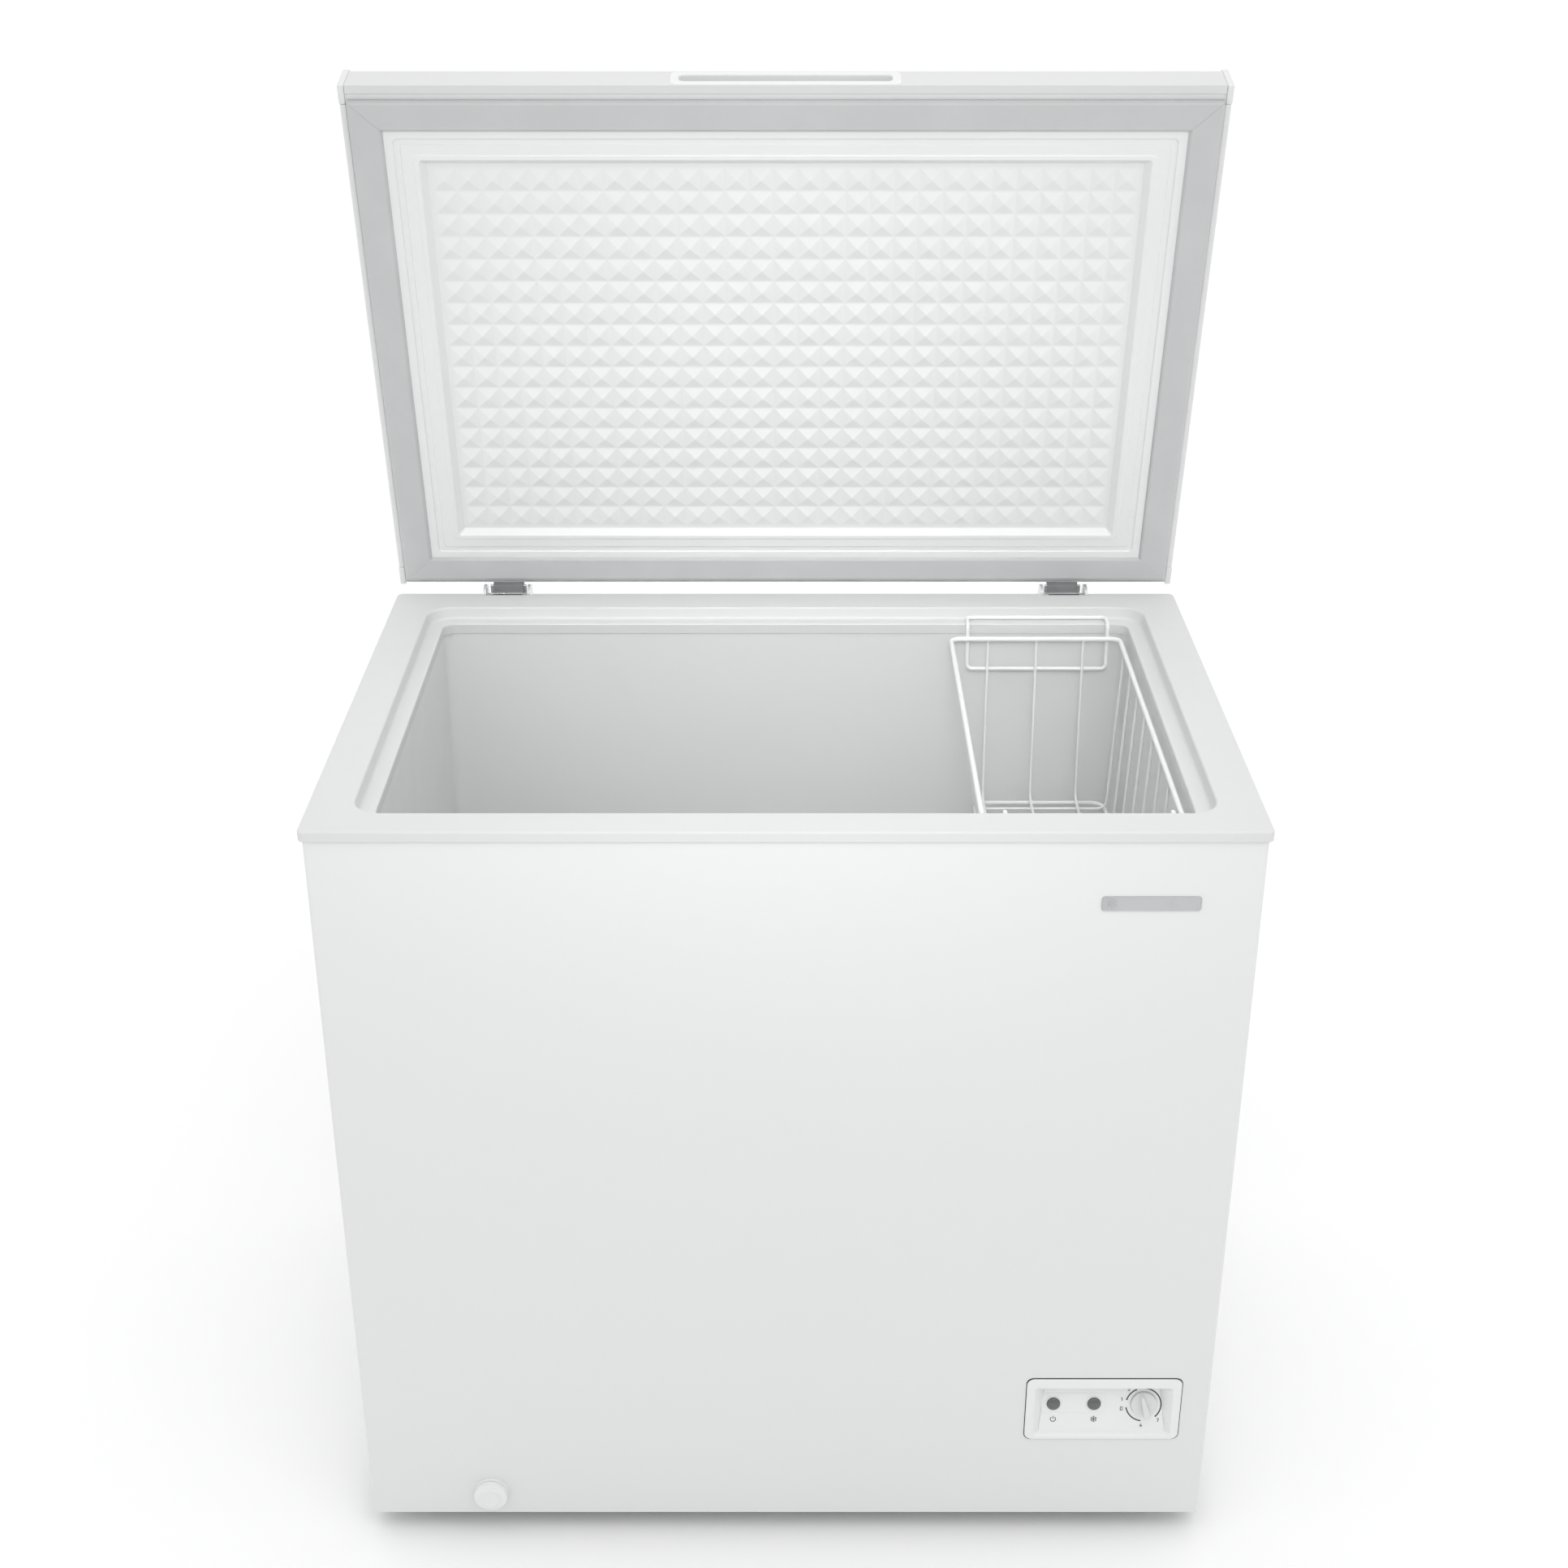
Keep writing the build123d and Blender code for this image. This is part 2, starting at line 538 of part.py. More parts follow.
PLUG_HEAD_R = 13.0
PLUG_HEAD_H = 5.0
plug_axis = Pos(*point(DRAIN_X, DRAIN_DEPTH, LINER_FLOOR_Z + CAP_GAP))
liner_drain_plug = plug_axis * Pos(0, 0, PLUG_HEAD_H / 2) * Cylinder(PLUG_HEAD_R, PLUG_HEAD_H)
liner_drain_plug += plug_axis * Pos(0, 0, -7) * Cylinder(STEM_R, 14)
pull_tab = plug_axis * Pos(0, 0, PLUG_HEAD_H + 5) * Box(18, 3, 12)
pull_tab -= plug_axis * Pos(0, 0, PLUG_HEAD_H + 6) * Rot(90, 0, 0) * Cylinder(3, 6)
liner_drain_plug += pull_tab
save("liner_drain_plug", liner_drain_plug)

# ---------------------------------------------------------------- foam

foam = inside_wrapper(BASE_TOP, WRAP_TOP)
foam -= liner_space(SHEET, FLANGE_Z)
foam -= block(-RECESS_X - RIM_PLATE, RECESS_X + RIM_PLATE, RECESS_FRONT - RIM_PLATE, RECESS_REAR + RIM_PLATE,
              FLANGE_Z - SHEET, WRAP_TOP + 1, RECESS_R + RIM_PLATE)
foam -= block(BAY_X - SHEET, INNER_X + 1, 0, RIM_D, FOOT_H, BAY_Z + SHEET)
for buried in (evaporator_coil, condenser_coil, capillary_tube, drain_solid):
    foam -= buried
save("foam_insulation", foam)

# ---------------------------------------------------------------- rear cover and cord gland

LOUVRE_W = 62.0
LOUVRE_H = 6.0
LOUVRE_ROWS = 11
LOUVRE_PITCH = 15.0
LOUVRE_GAP = 12.0
LOWEST_LOUVRE = 52.0
cover_middle = (COVER_LEFT + COVER_RIGHT) / 2
compressor_cover = block(COVER_LEFT, COVER_RIGHT, WRAP_REAR, WRAP_REAR + SHEET, COVER_LOW, COVER_HIGH)
for row in range(LOUVRE_ROWS):
    z = COVER_LOW + LOWEST_LOUVRE + row * LOUVRE_PITCH
    for x0 in (cover_middle - LOUVRE_GAP / 2 - LOUVRE_W, cover_middle + LOUVRE_GAP / 2):
        compressor_cover -= block(x0, x0 + LOUVRE_W, WRAP_REAR - 1, WRAP_REAR + SHEET + 1, z, z + LOUVRE_H)
        hood = [(WRAP_REAR + SHEET, z + LOUVRE_H + 2), (WRAP_REAR + SHEET, z + LOUVRE_H),
                (WRAP_REAR + 5, z + 0.5), (WRAP_REAR + 6, z + 0.8)]
        compressor_cover += side_prism(hood, x0, x0 + LOUVRE_W)
for x, z in COVER_SCREWS:
    compressor_cover -= front_disc(x, z, WRAP_REAR - 1, WRAP_REAR + SHEET + 1, SCREW_HOLE_R)
GLAND_X = COVER_RIGHT - 40.0
GLAND_Z = COVER_LOW + 28.0
compressor_cover -= front_disc(GLAND_X, GLAND_Z, WRAP_REAR - 1, WRAP_REAR + SHEET + 1, 8)
save("compressor_cover", compressor_cover)

cord_gland = front_disc(GLAND_X, GLAND_Z, WRAP_REAR - 4, WRAP_REAR + 6, 8)
cord_gland += front_disc(GLAND_X, GLAND_Z, WRAP_REAR + SHEET, WRAP_REAR + 4, 12)
cord_gland += front_disc(GLAND_X, GLAND_Z, WRAP_REAR + 6, WRAP_REAR + 16, 5.5, 8)
cord_gland -= front_disc(GLAND_X, GLAND_Z, WRAP_REAR - 5, WRAP_REAR + 17, 3.6)
save("cord_gland", cord_gland)


def screw_on_back(x, z, surface, tip):
    """A pan-head screw that points forwards, its head on the surface at that depth."""
    head = front_disc(x, z, surface, surface + 2.4, 4.0)
    head = fillet(head.edges().filter_by(lambda e: abs(e.center().Y - y_at(surface + 2.4)) < 0.01), 1.2)
    slot = Pos(*point(x, surface + 2.4, z))
    head -= slot * Box(5, 1.6, 1)
    head -= slot * Box(1, 1.6, 5)
    return head + front_disc(x, z, tip, surface + 0.5, SCREW_R)


save("cover_screws", *[screw_on_back(x, z, WRAP_REAR + SHEET, INNER_REAR) for x, z in COVER_SCREWS])

# ---------------------------------------------------------------- control panel

BEZEL_PROUD = 1.5
FLOOR_LOW = 126.0
FLOOR_HIGH = 170.0
INSET_LOW = 5.2
INSET_HIGH = 10.0
bezel_face = WRAP_FRONT - BEZEL_PROUD
recess_floor = bezel_face + CONTROL_RECESS
wall_depth = CONTROL_WALL / cos(radians(CONTROL_TILT))
in_left = control_left + CONTROL_FRAME
in_right = control_right - CONTROL_FRAME
in_low = control_low + CONTROL_BAR_LOW
in_high = control_high - CONTROL_BAR_HIGH


def floor_depth(z):
    """The depth of the recess's floor, which leans back to face a little upwards."""
    return recess_floor + (z - CONTROL_Z) * tan(radians(CONTROL_TILT))


def tilted(shape):
    """Leans a piece laid out on an upright floor back onto the recess's floor."""
    return shape.rotate(Axis(point(0, recess_floor, CONTROL_Z), (1, 0, 0)), -CONTROL_TILT)


control_bezel = front_plate(control_left, control_right, control_low, control_high, bezel_face, WRAP_FRONT,
                            CONTROL_R)
box_low = in_low - CONTROL_WALL
box_high = in_high + CONTROL_WALL
control_bezel += side_prism([(WRAP_FRONT - 1, box_low), (floor_depth(box_low) + wall_depth, box_low),
                             (floor_depth(box_high) + wall_depth, box_high), (WRAP_FRONT - 1, box_high)],
                            in_left - CONTROL_WALL, in_right + CONTROL_WALL)
mouth = [point(x, bezel_face, z) for x, z in ((in_left, in_low), (in_right, in_low), (in_right, in_high),
                                              (in_left, in_high))]
floor_corners = [point(x, floor_depth(z), z) for x, z in
                 ((in_left + INSET_LOW, FLOOR_LOW), (in_right - INSET_LOW, FLOOR_LOW),
                  (in_right - INSET_HIGH, FLOOR_HIGH), (in_left + INSET_HIGH, FLOOR_HIGH))]
control_bezel -= loft([make_face(Polyline(*corners, close=True)) for corners in (mouth, floor_corners)],
                      ruled=True)
RING_W = 1.5
RING_T = 1.0
HOLDER_R = 4.8
for x in LAMP_XS:
    control_bezel += tilted(front_disc(x, CONTROL_Z, recess_floor - RING_T, recess_floor + 1, LAMP_R + RING_W))
    control_bezel -= tilted(front_disc(x, CONTROL_Z, recess_floor - 5, recess_floor, LAMP_R))
    control_bezel -= tilted(front_disc(x, CONTROL_Z, recess_floor - 1, recess_floor + 5, HOLDER_R))
SHAFT_R = 3.0
BUSH_R = 5.0
control_bezel -= tilted(front_disc(DIAL_X, CONTROL_Z, recess_floor - 1, recess_floor + 5, BUSH_R))
save("control_bezel", control_bezel)

behind_wall = recess_floor + CONTROL_WALL
for name, x in zip(("power_lamp_lens", "running_lamp_lens"), LAMP_XS):
    lens = front_disc(x, CONTROL_Z, recess_floor - LAMP_PROUD, recess_floor, LAMP_R - 0.05, LAMP_R - 1.5)
    lens += front_disc(x, CONTROL_Z, recess_floor - 0.5, behind_wall + 2, HOLDER_R)
    save(name, tilted(lens))
save("lamp_holders", *[tilted(front_disc(x, CONTROL_Z, behind_wall + 2, behind_wall + 20, 7)) for x in LAMP_XS])

THERMOSTAT = 17.0
thermostat = front_plate(DIAL_X - THERMOSTAT, DIAL_X + THERMOSTAT, CONTROL_Z - THERMOSTAT,
                         CONTROL_Z + THERMOSTAT, behind_wall, behind_wall + 30, 3)
thermostat += front_disc(DIAL_X, CONTROL_Z, recess_floor - 0.5, behind_wall + 1, BUSH_R)
SHAFT_BACK = behind_wall + 14
thermostat -= front_disc(DIAL_X, CONTROL_Z, recess_floor - 2, SHAFT_BACK + 0.5, SHAFT_R + PIN_CLEARANCE)
save("thermostat_body", tilted(thermostat))

KNOB_GAP = 1.2
KNOB_T = 3.2
GRIP_OUT = 11.0
GRIP_END = 11.4
GRIP_TAIL_W = 7.4
GRIP_TIP_W = 4.0
knob_back = recess_floor - KNOB_GAP
knob_face = knob_back - KNOB_T
grip_root = knob_face + 0.5
grip_front = knob_back - GRIP_OUT
knob = front_disc(DIAL_X, CONTROL_Z, knob_face, knob_back, KNOB_R, KNOB_R - 0.8)
grip_plane = Plane(origin=point(DIAL_X, grip_root, CONTROL_Z), x_dir=(1, 0, 0), z_dir=(0, -1, 0))
grip_outline = Polyline((-GRIP_TAIL_W / 2, -GRIP_END), (GRIP_TAIL_W / 2, -GRIP_END), (GRIP_TIP_W / 2, GRIP_END),
                        (-GRIP_TIP_W / 2, GRIP_END), close=True)
grip = extrude(grip_plane * make_face(grip_outline), grip_root - grip_front, taper=3)
grip = fillet(grip.edges().filter_by(lambda e: abs(e.center().Y - y_at(grip_front)) < 0.01), 0.8)
knob += grip
knob -= front_disc(DIAL_X, CONTROL_Z, knob_back - 5, knob_back + 1, SHAFT_R)
turn_axis = Axis(point(DIAL_X, 0, CONTROL_Z), (0, 1, 0))
save("thermostat_knob", tilted(knob.rotate(turn_axis, -KNOB_LEAN)))
save("thermostat_shaft", tilted(front_disc(DIAL_X, CONTROL_Z, knob_back - 5, SHAFT_BACK, SHAFT_R)))

NAMEPLATE_X = 310.0
NAMEPLATE_W = 85.0
NAMEPLATE_H = 14.0
NAMEPLATE_T = 1.2
NAMEPLATE_Z = RIM_Z - RIM_H - 60.0
nameplate = front_plate(NAMEPLATE_X - NAMEPLATE_W / 2, NAMEPLATE_X + NAMEPLATE_W / 2,
                        NAMEPLATE_Z - NAMEPLATE_H / 2, NAMEPLATE_Z + NAMEPLATE_H / 2,
                        WRAP_FRONT - NAMEPLATE_T, WRAP_FRONT, 2.5)
save("nameplate", nameplate)

# ---------------------------------------------------------------- hinges

BRACKET_LOW = 92.0
BRACKET_HIGH = 18.0
BRACKET_T = 2.0
BRIDGE_DEPTHS = (RIM_D - 2.2, RIM_D + 1.0)
BRIDGE_T = 2.0
EAR_FRONT = RIM_D - 6.0
EAR_LIFT = 0.4
ARM_FOOT = 0.8
ARM_TOP = LID_GAP + 36.0
BARREL_R = 7.0
SPRING_R = 4.9
SPRING_WIRE_R = 0.65
SPRING_TURNS = 2.5
SPRING_PITCH = 1.4


def hinge_bracket(centre):
    """Plate on the cabinet's back with two round-topped ears and a bridge between them."""
    half = HINGE_W / 2
    plate = block(centre - half, centre + half, WRAP_REAR, WRAP_REAR + BRACKET_T, z_at(BRACKET_LOW),
                  z_at(BRACKET_HIGH))
    for dx in (-HINGE_SCREW_X, HINGE_SCREW_X):
        for drop in HINGE_SCREW_DROPS:
            plate -= front_disc(centre + dx, z_at(drop), WRAP_REAR - 1, WRAP_REAR + 5, SCREW_HOLE_R)
    for side in (-1, 1):
        x0 = centre + side * half - (EAR_T if side > 0 else 0)
        ear = cross_disc(x0, x0 + EAR_T, AXIS_DEPTH, AXIS_Z, EAR_R)
        ear -= block(x0 - 1, x0 + EAR_T + 1, 0, EAR_FRONT, 0, RIM_Z + 50)
        ear -= block(x0 - 1, x0 + EAR_T + 1, 0, WRAP_REAR, 0, RIM_Z + EAR_LIFT)
        gusset = [(WRAP_REAR, z_at(BRACKET_LOW)), (WRAP_REAR + 6, z_at(BRACKET_LOW)),
                  (AXIS_DEPTH + EAR_R, AXIS_Z), (AXIS_DEPTH, AXIS_Z), (WRAP_REAR, AXIS_Z)]
        ear += side_prism(gusset, x0, x0 + EAR_T)
        ear -= cross_disc(x0 - 1, x0 + EAR_T + 1, AXIS_DEPTH, AXIS_Z, PIN_R + 0.02)
        plate += ear
    plate += block(centre - half, centre + half, BRIDGE_DEPTHS[0], BRIDGE_DEPTHS[1], z_at(BRIDGE_T), RIM_Z)
    return plate


def hinge_arm(centre):
    """Plate on the closed lid's back edge, with a neck down to a barrel round the pin."""
    x0, x1 = centre - ARM_W / 2, centre + ARM_W / 2
    neck_front = RIM_D + 1.7
    outline = [(LID_REAR, RIM_Z + ARM_TOP), (LID_REAR, RIM_Z + ARM_FOOT), (neck_front, RIM_Z + ARM_FOOT),
               (neck_front, z_at(4)), (RIM_D + 9, z_at(4)), (RIM_D + 10.5, RIM_Z + 2.5),
               (RIM_D + 4, RIM_Z + 5.5), (LID_REAR + ARM_T, RIM_Z + 5.5), (LID_REAR + ARM_T, RIM_Z + ARM_TOP)]
    arm = side_prism(outline, x0, x1) + cross_disc(x0, x1, AXIS_DEPTH, AXIS_Z, BARREL_R)
    for dx in (-9, 9):
        arm -= front_disc(centre + dx, LID_Z + 22, LID_REAR - 1, LID_REAR + 5, SCREW_HOLE_R)
    return arm - cross_disc(x0 - 1, x1 + 1, AXIS_DEPTH, AXIS_Z, PIN_R + PIN_CLEARANCE)


def hinge_pin(centre):
    half = HINGE_W / 2
    pin = cross_disc(centre - half - 1.5, centre + half + 1.5, AXIS_DEPTH, AXIS_Z, PIN_R)
    for side in (-1, 1):
        x = centre + side * (half + 1.1)
        pin += cross_disc(x - 0.9, x + 0.9, AXIS_DEPTH, AXIS_Z, PIN_R + 1.6)
    return pin


def hinge_spring(centre, side):
    """Short torsion spring round the pin, between an ear and the barrel."""
    length = SPRING_PITCH * SPRING_TURNS
    near = ARM_W / 2 + 1.0
    start = centre + near if side > 0 else centre - near - length
    coil = Helix(SPRING_PITCH, length, SPRING_R)
    wire = sweep(Plane(origin=coil @ 0, z_dir=coil % 0) * Circle(SPRING_WIRE_R), path=coil, is_frenet=True)
    return Pos(*point(start, AXIS_DEPTH, AXIS_Z)) * Rot(0, 90, 0) * wire


arm_screws = []
bracket_screws = []
springs = []
for side_name, side in (("left", -1), ("right", 1)):
    centre = side * HINGE_X
    save(side_name + "_hinge_bracket", hinge_bracket(centre))
    save(side_name + "_hinge_pin", hinge_pin(centre))
    save(side_name + "_hinge_arm", opened(hinge_arm(centre)))
    springs += [hinge_spring(centre, -1), hinge_spring(centre, 1)]
    for dx in (-HINGE_SCREW_X, HINGE_SCREW_X):
        for drop in HINGE_SCREW_DROPS:
            bracket_screws.append(screw_on_back(centre + dx, z_at(drop), WRAP_REAR + BRACKET_T, INNER_REAR))
    for dx in (-9, 9):
        arm_screws.append(opened(screw_on_back(centre + dx, LID_Z + 22, LID_REAR + ARM_T, LID_REAR - SHEET)))
save("hinge_springs", *springs)
save("hinge_bracket_screws", *bracket_screws)
save("hinge_arm_screws", *arm_screws)

# ---------------------------------------------------------------- lid, laid out closed


def lid_depth(from_rear):
    """The depth of a line on the lid, counted forwards from the lid's rear edge."""
    return LID_REAR - from_rear


def lid_block(half_width, rear, front, low, high, r=0.0):
    return block(-half_width, half_width, lid_depth(front), lid_depth(rear), LID_Z + low, LID_Z + high, r)


SKIN_X = LID_W / 2 - LID_TRIM_W
SKIN_INNER_X = SKIN_X - SHEET


def skin_solid(grow):
    """The lid skin's outside, or its inside when grow is minus the sheet."""
    body = lid_block(SKIN_X + grow, -grow, LID_D + grow, 0 if grow == 0 else -1, LID_SKIN_H + grow)
    top_front = body.edges().filter_by(Axis.X).sort_by(lambda e: e.center().Z - 0.01 * e.center().Y)[-1]
    return fillet(top_front, LID_EDGE_R + grow)


skin = skin_solid(0)
skin_inside = skin_solid(-SHEET)
handle_low = LID_Z + HANDLE_LOW
handle_high = LID_Z + HANDLE_HIGH
slot_low = LID_Z + SLOT_LOW
slot_high = LID_Z + SLOT_HIGH
lid_front = lid_depth(LID_D)
POCKET_WALL = 1.5
SLOT_R = 5.0
pocket_solid = front_plate(-SLOT_W / 2 - POCKET_WALL, SLOT_W / 2 + POCKET_WALL, slot_low - POCKET_WALL,
                           slot_high + POCKET_WALL, lid_front, lid_front + SLOT_DEPTH + POCKET_WALL,
                           SLOT_R + POCKET_WALL)
hem = lid_block(SKIN_INNER_X, LID_D - LID_HEM, LID_D - SHEET / 2, 0, SHEET)
lid_skin = skin - skin_inside + hem
lid_skin -= pocket_solid
for side in (-1, 1):
    for dx in (-9, 9):
        lid_skin -= front_disc(side * HINGE_X + dx, LID_Z + 22, LID_REAR - 2, LID_REAR + 1, SCREW_HOLE_R)
save("lid_outer_panel", opened(lid_skin))

BEZEL_T = 0.8
handle_insert = front_plate(-HANDLE_W / 2, HANDLE_W / 2, handle_low, handle_high, lid_front - BEZEL_T,
                            lid_front, 6)
handle_insert += pocket_solid
handle_insert -= front_plate(-SLOT_W / 2, SLOT_W / 2, slot_low, slot_high, lid_front - 2,
                             lid_front + SLOT_DEPTH, SLOT_R)
save("handle_insert", opened(handle_insert))


def plateau_block(inset, low, high, r=0.0):
    return lid_block(PLATEAU_X - inset, PLATEAU_REAR + inset, PLATEAU_FRONT - inset, low, high, r)


LINER_BACK = SHEET + LINER_SHEET
lid_liner = lid_block(SKIN_INNER_X, SHEET, LID_D - LID_HEM - 0.5, SHEET, LINER_BACK)
lid_liner += plateau_block(0, -PLATEAU_H, LINER_BACK, 4)
ring_space = plateau_block(LINER_SHEET, -PLATEAU_H + LINER_SHEET, LINER_BACK, 3)
ring_space -= plateau_block(FIELD_INSET - LINER_SHEET, -PLATEAU_H, LINER_BACK + 1)
lid_liner -= ring_space
field_x = 2 * (PLATEAU_X - FIELD_INSET)
field_y = PLATEAU_FRONT - PLATEAU_REAR - 2 * FIELD_INSET
field_middle = lid_depth((PLATEAU_FRONT + PLATEAU_REAR) / 2)
field_face = Plane(origin=point(0, field_middle, LID_Z - PLATEAU_H)) * Rectangle(field_x, field_y)
lid_liner -= extrude(field_face, FIELD_DEPTH, taper=degrees(atan(FIELD_SLOPE / FIELD_DEPTH)))
save("lid_inner_liner", opened(lid_liner))

lid_foam = skin_inside & lid_block(SKIN_INNER_X, 0, LID_D, LINER_BACK, LID_SKIN_H)
lid_foam += ring_space
lid_foam -= pocket_solid
save("lid_foam", opened(lid_foam))

GASKET_FOOT = 2.0
gasket = lid_block(GASKET_X, GASKET_REAR, GASKET_FRONT, -GASKET_H, -1.4)
gasket = chamfer(gasket.edges().filter_by(lambda e: abs(e.center().Z - LID_Z + GASKET_H) < 0.01), 1.2)
gasket += lid_block(GASKET_X - GASKET_FOOT, GASKET_REAR + GASKET_FOOT, GASKET_FRONT - GASKET_FOOT, -1.5,
                    SHEET)
gasket -= plateau_block(0, -GASKET_H - 1, LINER_BACK + 1, 4)
save("lid_gasket", opened(gasket))

TRIM_GAP = 0.3
corner_caps = []
for side_name, side in (("left", -1), ("right", 1)):
    inner, outer = side * SKIN_X, side * LID_W / 2
    x0, x1 = min(inner, outer), max(inner, outer)
    trim = block(x0 + (TRIM_GAP if side < 0 else 0), x1 - (TRIM_GAP if side > 0 else 0),
                 lid_depth(LID_D - LID_CAP_L), lid_depth(LID_CAP_L), LID_Z, LID_Z + LID_TRIM_H - TRIM_GAP)
    save("lid_" + side_name + "_trim", opened(trim))
    for rear, front in ((-LID_CAP_OVERHANG, LID_CAP_L), (LID_D - LID_CAP_L, LID_D)):
        cap = block(x0, x1, lid_depth(front), lid_depth(rear), LID_Z, LID_Z + LID_TRIM_H)
        end_y = y_at(lid_depth(front if rear > 0 else rear))
        end_edge = cap.edges().filter_by(Axis.X).filter_by(
            lambda e: abs(e.center().Y - end_y) < 0.01 and e.center().Z > LID_Z + LID_TRIM_H / 2)
        corner_caps.append(opened(fillet(end_edge, LID_EDGE_R)))
save("lid_corner_caps", *corner_caps)

# ---------------------------------------------------------------- basket

BASKET_CORNER = 20.0
BASKET_Z = z_at(BASKET_DROP)
BASKET_FLOOR_Z = z_at(BASKET_FLOOR_DROP)
WELD = 0.4
save("basket_top_frame",
     ring_rod(BASKET_LEFT, BASKET_RIGHT, BASKET_FRONT, BASKET_REAR, BASKET_Z, FRAME_WIRE_R, BASKET_CORNER))
floor_left, floor_right, floor_front, floor_rear = BASKET_FLOOR
save("basket_floor_frame",
     ring_rod(floor_left, floor_right, floor_front, floor_rear, BASKET_FLOOR_Z, FLOOR_WIRE_R, 15))

CROSS_WIRES = 8
CROSS_FIRST = 100.0
CROSS_LAST = 445.0
cross_z = BASKET_FLOOR_Z + FLOOR_WIRE_R + THIN_WIRE_R - WELD
length_z = cross_z + 2 * THIN_WIRE_R - WELD
cross_wires = []
for i in range(CROSS_WIRES):
    d = CROSS_FIRST + i * (CROSS_LAST - CROSS_FIRST) / (CROSS_WIRES - 1)
    cross_wires.append(rod([(BASKET_LEFT, d, BASKET_Z), (floor_left, d, cross_z), (floor_right, d, cross_z),
                            (BASKET_RIGHT, d, BASKET_Z)], THIN_WIRE_R, 10))
save("basket_cross_wires", *cross_wires)
LENGTH_XS = (209.0, 259.0, 307.0)
length_wires = [rod([(x, BASKET_FRONT, BASKET_Z), (x, floor_front, length_z), (x, floor_rear, length_z),
                     (x, BASKET_REAR, BASKET_Z)], THIN_WIRE_R, 10) for x in LENGTH_XS]
save("basket_lengthwise_wires", *length_wires)

HANGER_LEFT = 188.0
HANGER_RIGHT = 332.0
HANGER_DROP = 57.0
HANGER_STANDOFF = 4.0
HANGER_BEND = 5.0
hanger_z = z_at(RECESS_DROP) + HANGER_WIRE_R + LEDGE_GAP
hangers = []
for frame_depth, back, floor_depth in ((BASKET_REAR, 1, floor_rear), (BASKET_FRONT, -1, floor_front)):
    fall = (HANGER_DROP - BASKET_DROP) / (BASKET_FLOOR_DROP - BASKET_DROP)
    wall_depth = frame_depth + fall * (floor_depth - frame_depth)
    wall_depth += back * (THIN_WIRE_R + HANGER_WIRE_R - WELD)
    leg_depth = frame_depth + back * HANGER_STANDOFF
    ledge_depth = RECESS_REAR - HANGER_STANDOFF if back > 0 else RECESS_FRONT + HANGER_STANDOFF
    left_leg = [(HANGER_LEFT, wall_depth, z_at(HANGER_DROP)), (HANGER_LEFT, leg_depth, BASKET_Z),
                (HANGER_LEFT, leg_depth, hanger_z), (HANGER_LEFT, ledge_depth, hanger_z)]
    right_leg = [(HANGER_RIGHT, d, z) for x, d, z in reversed(left_leg)]
    hangers.append(rod(left_leg + right_leg, HANGER_WIRE_R, HANGER_BEND, close=True))
save("basket_hangers", *hangers)
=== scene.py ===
import json
from math import atan2, cos, pi, radians, sin, tan

import bmesh
import bpy
from mathutils import Matrix, Vector


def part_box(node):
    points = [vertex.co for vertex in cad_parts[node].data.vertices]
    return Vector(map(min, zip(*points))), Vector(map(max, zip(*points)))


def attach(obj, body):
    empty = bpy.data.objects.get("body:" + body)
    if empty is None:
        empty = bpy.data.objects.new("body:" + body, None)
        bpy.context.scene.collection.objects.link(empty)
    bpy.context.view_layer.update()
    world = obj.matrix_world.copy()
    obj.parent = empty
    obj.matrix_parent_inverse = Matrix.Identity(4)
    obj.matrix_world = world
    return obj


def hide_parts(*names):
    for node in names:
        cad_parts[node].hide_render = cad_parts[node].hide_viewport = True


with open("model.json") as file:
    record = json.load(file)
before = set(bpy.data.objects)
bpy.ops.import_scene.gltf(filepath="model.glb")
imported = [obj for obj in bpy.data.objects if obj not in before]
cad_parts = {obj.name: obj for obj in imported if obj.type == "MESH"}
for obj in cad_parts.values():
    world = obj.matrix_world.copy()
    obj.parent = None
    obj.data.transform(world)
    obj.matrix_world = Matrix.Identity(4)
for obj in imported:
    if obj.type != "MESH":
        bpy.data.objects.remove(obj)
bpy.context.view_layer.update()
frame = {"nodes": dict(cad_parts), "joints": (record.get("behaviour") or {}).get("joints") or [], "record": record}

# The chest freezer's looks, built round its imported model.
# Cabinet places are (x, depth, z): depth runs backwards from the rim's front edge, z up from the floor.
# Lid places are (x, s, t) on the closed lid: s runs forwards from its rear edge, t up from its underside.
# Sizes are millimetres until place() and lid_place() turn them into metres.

MM = 0.001
rim_low, rim_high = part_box("rim_collar")
wrap_low, wrap_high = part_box("outer_wrapper")
RIM_Z = rim_high.z / MM
RIM_X = rim_high.x / MM
RIM_D = (rim_high.y - rim_low.y) / MM
WRAP_FRONT = (wrap_low.y - rim_low.y) / MM
hinge = next(j for j in frame["joints"] if j["name"] == "lid_hinge")
LID_OPEN = -hinge["range_deg"][0]
LID_REAR = 542.0
LID_GAP = 8.0
LID_D = 539.0


def add_object(name, data):
    made = bpy.data.objects.new(name, data)
    bpy.context.scene.collection.objects.link(made)
    return made


def place(x, depth, z):
    return Vector((x * MM, rim_low.y + depth * MM, z * MM))


def lid_place(x, s, t):
    return place(x, LID_REAR - s, RIM_Z + LID_GAP + t)


hinge_point = Matrix.Translation(Vector(hinge["pos_m"]))
LID_TURN = hinge_point @ Matrix.Rotation(radians(LID_OPEN), 4, Vector(hinge["axis"])) @ hinge_point.inverted()


# ---- camera and light

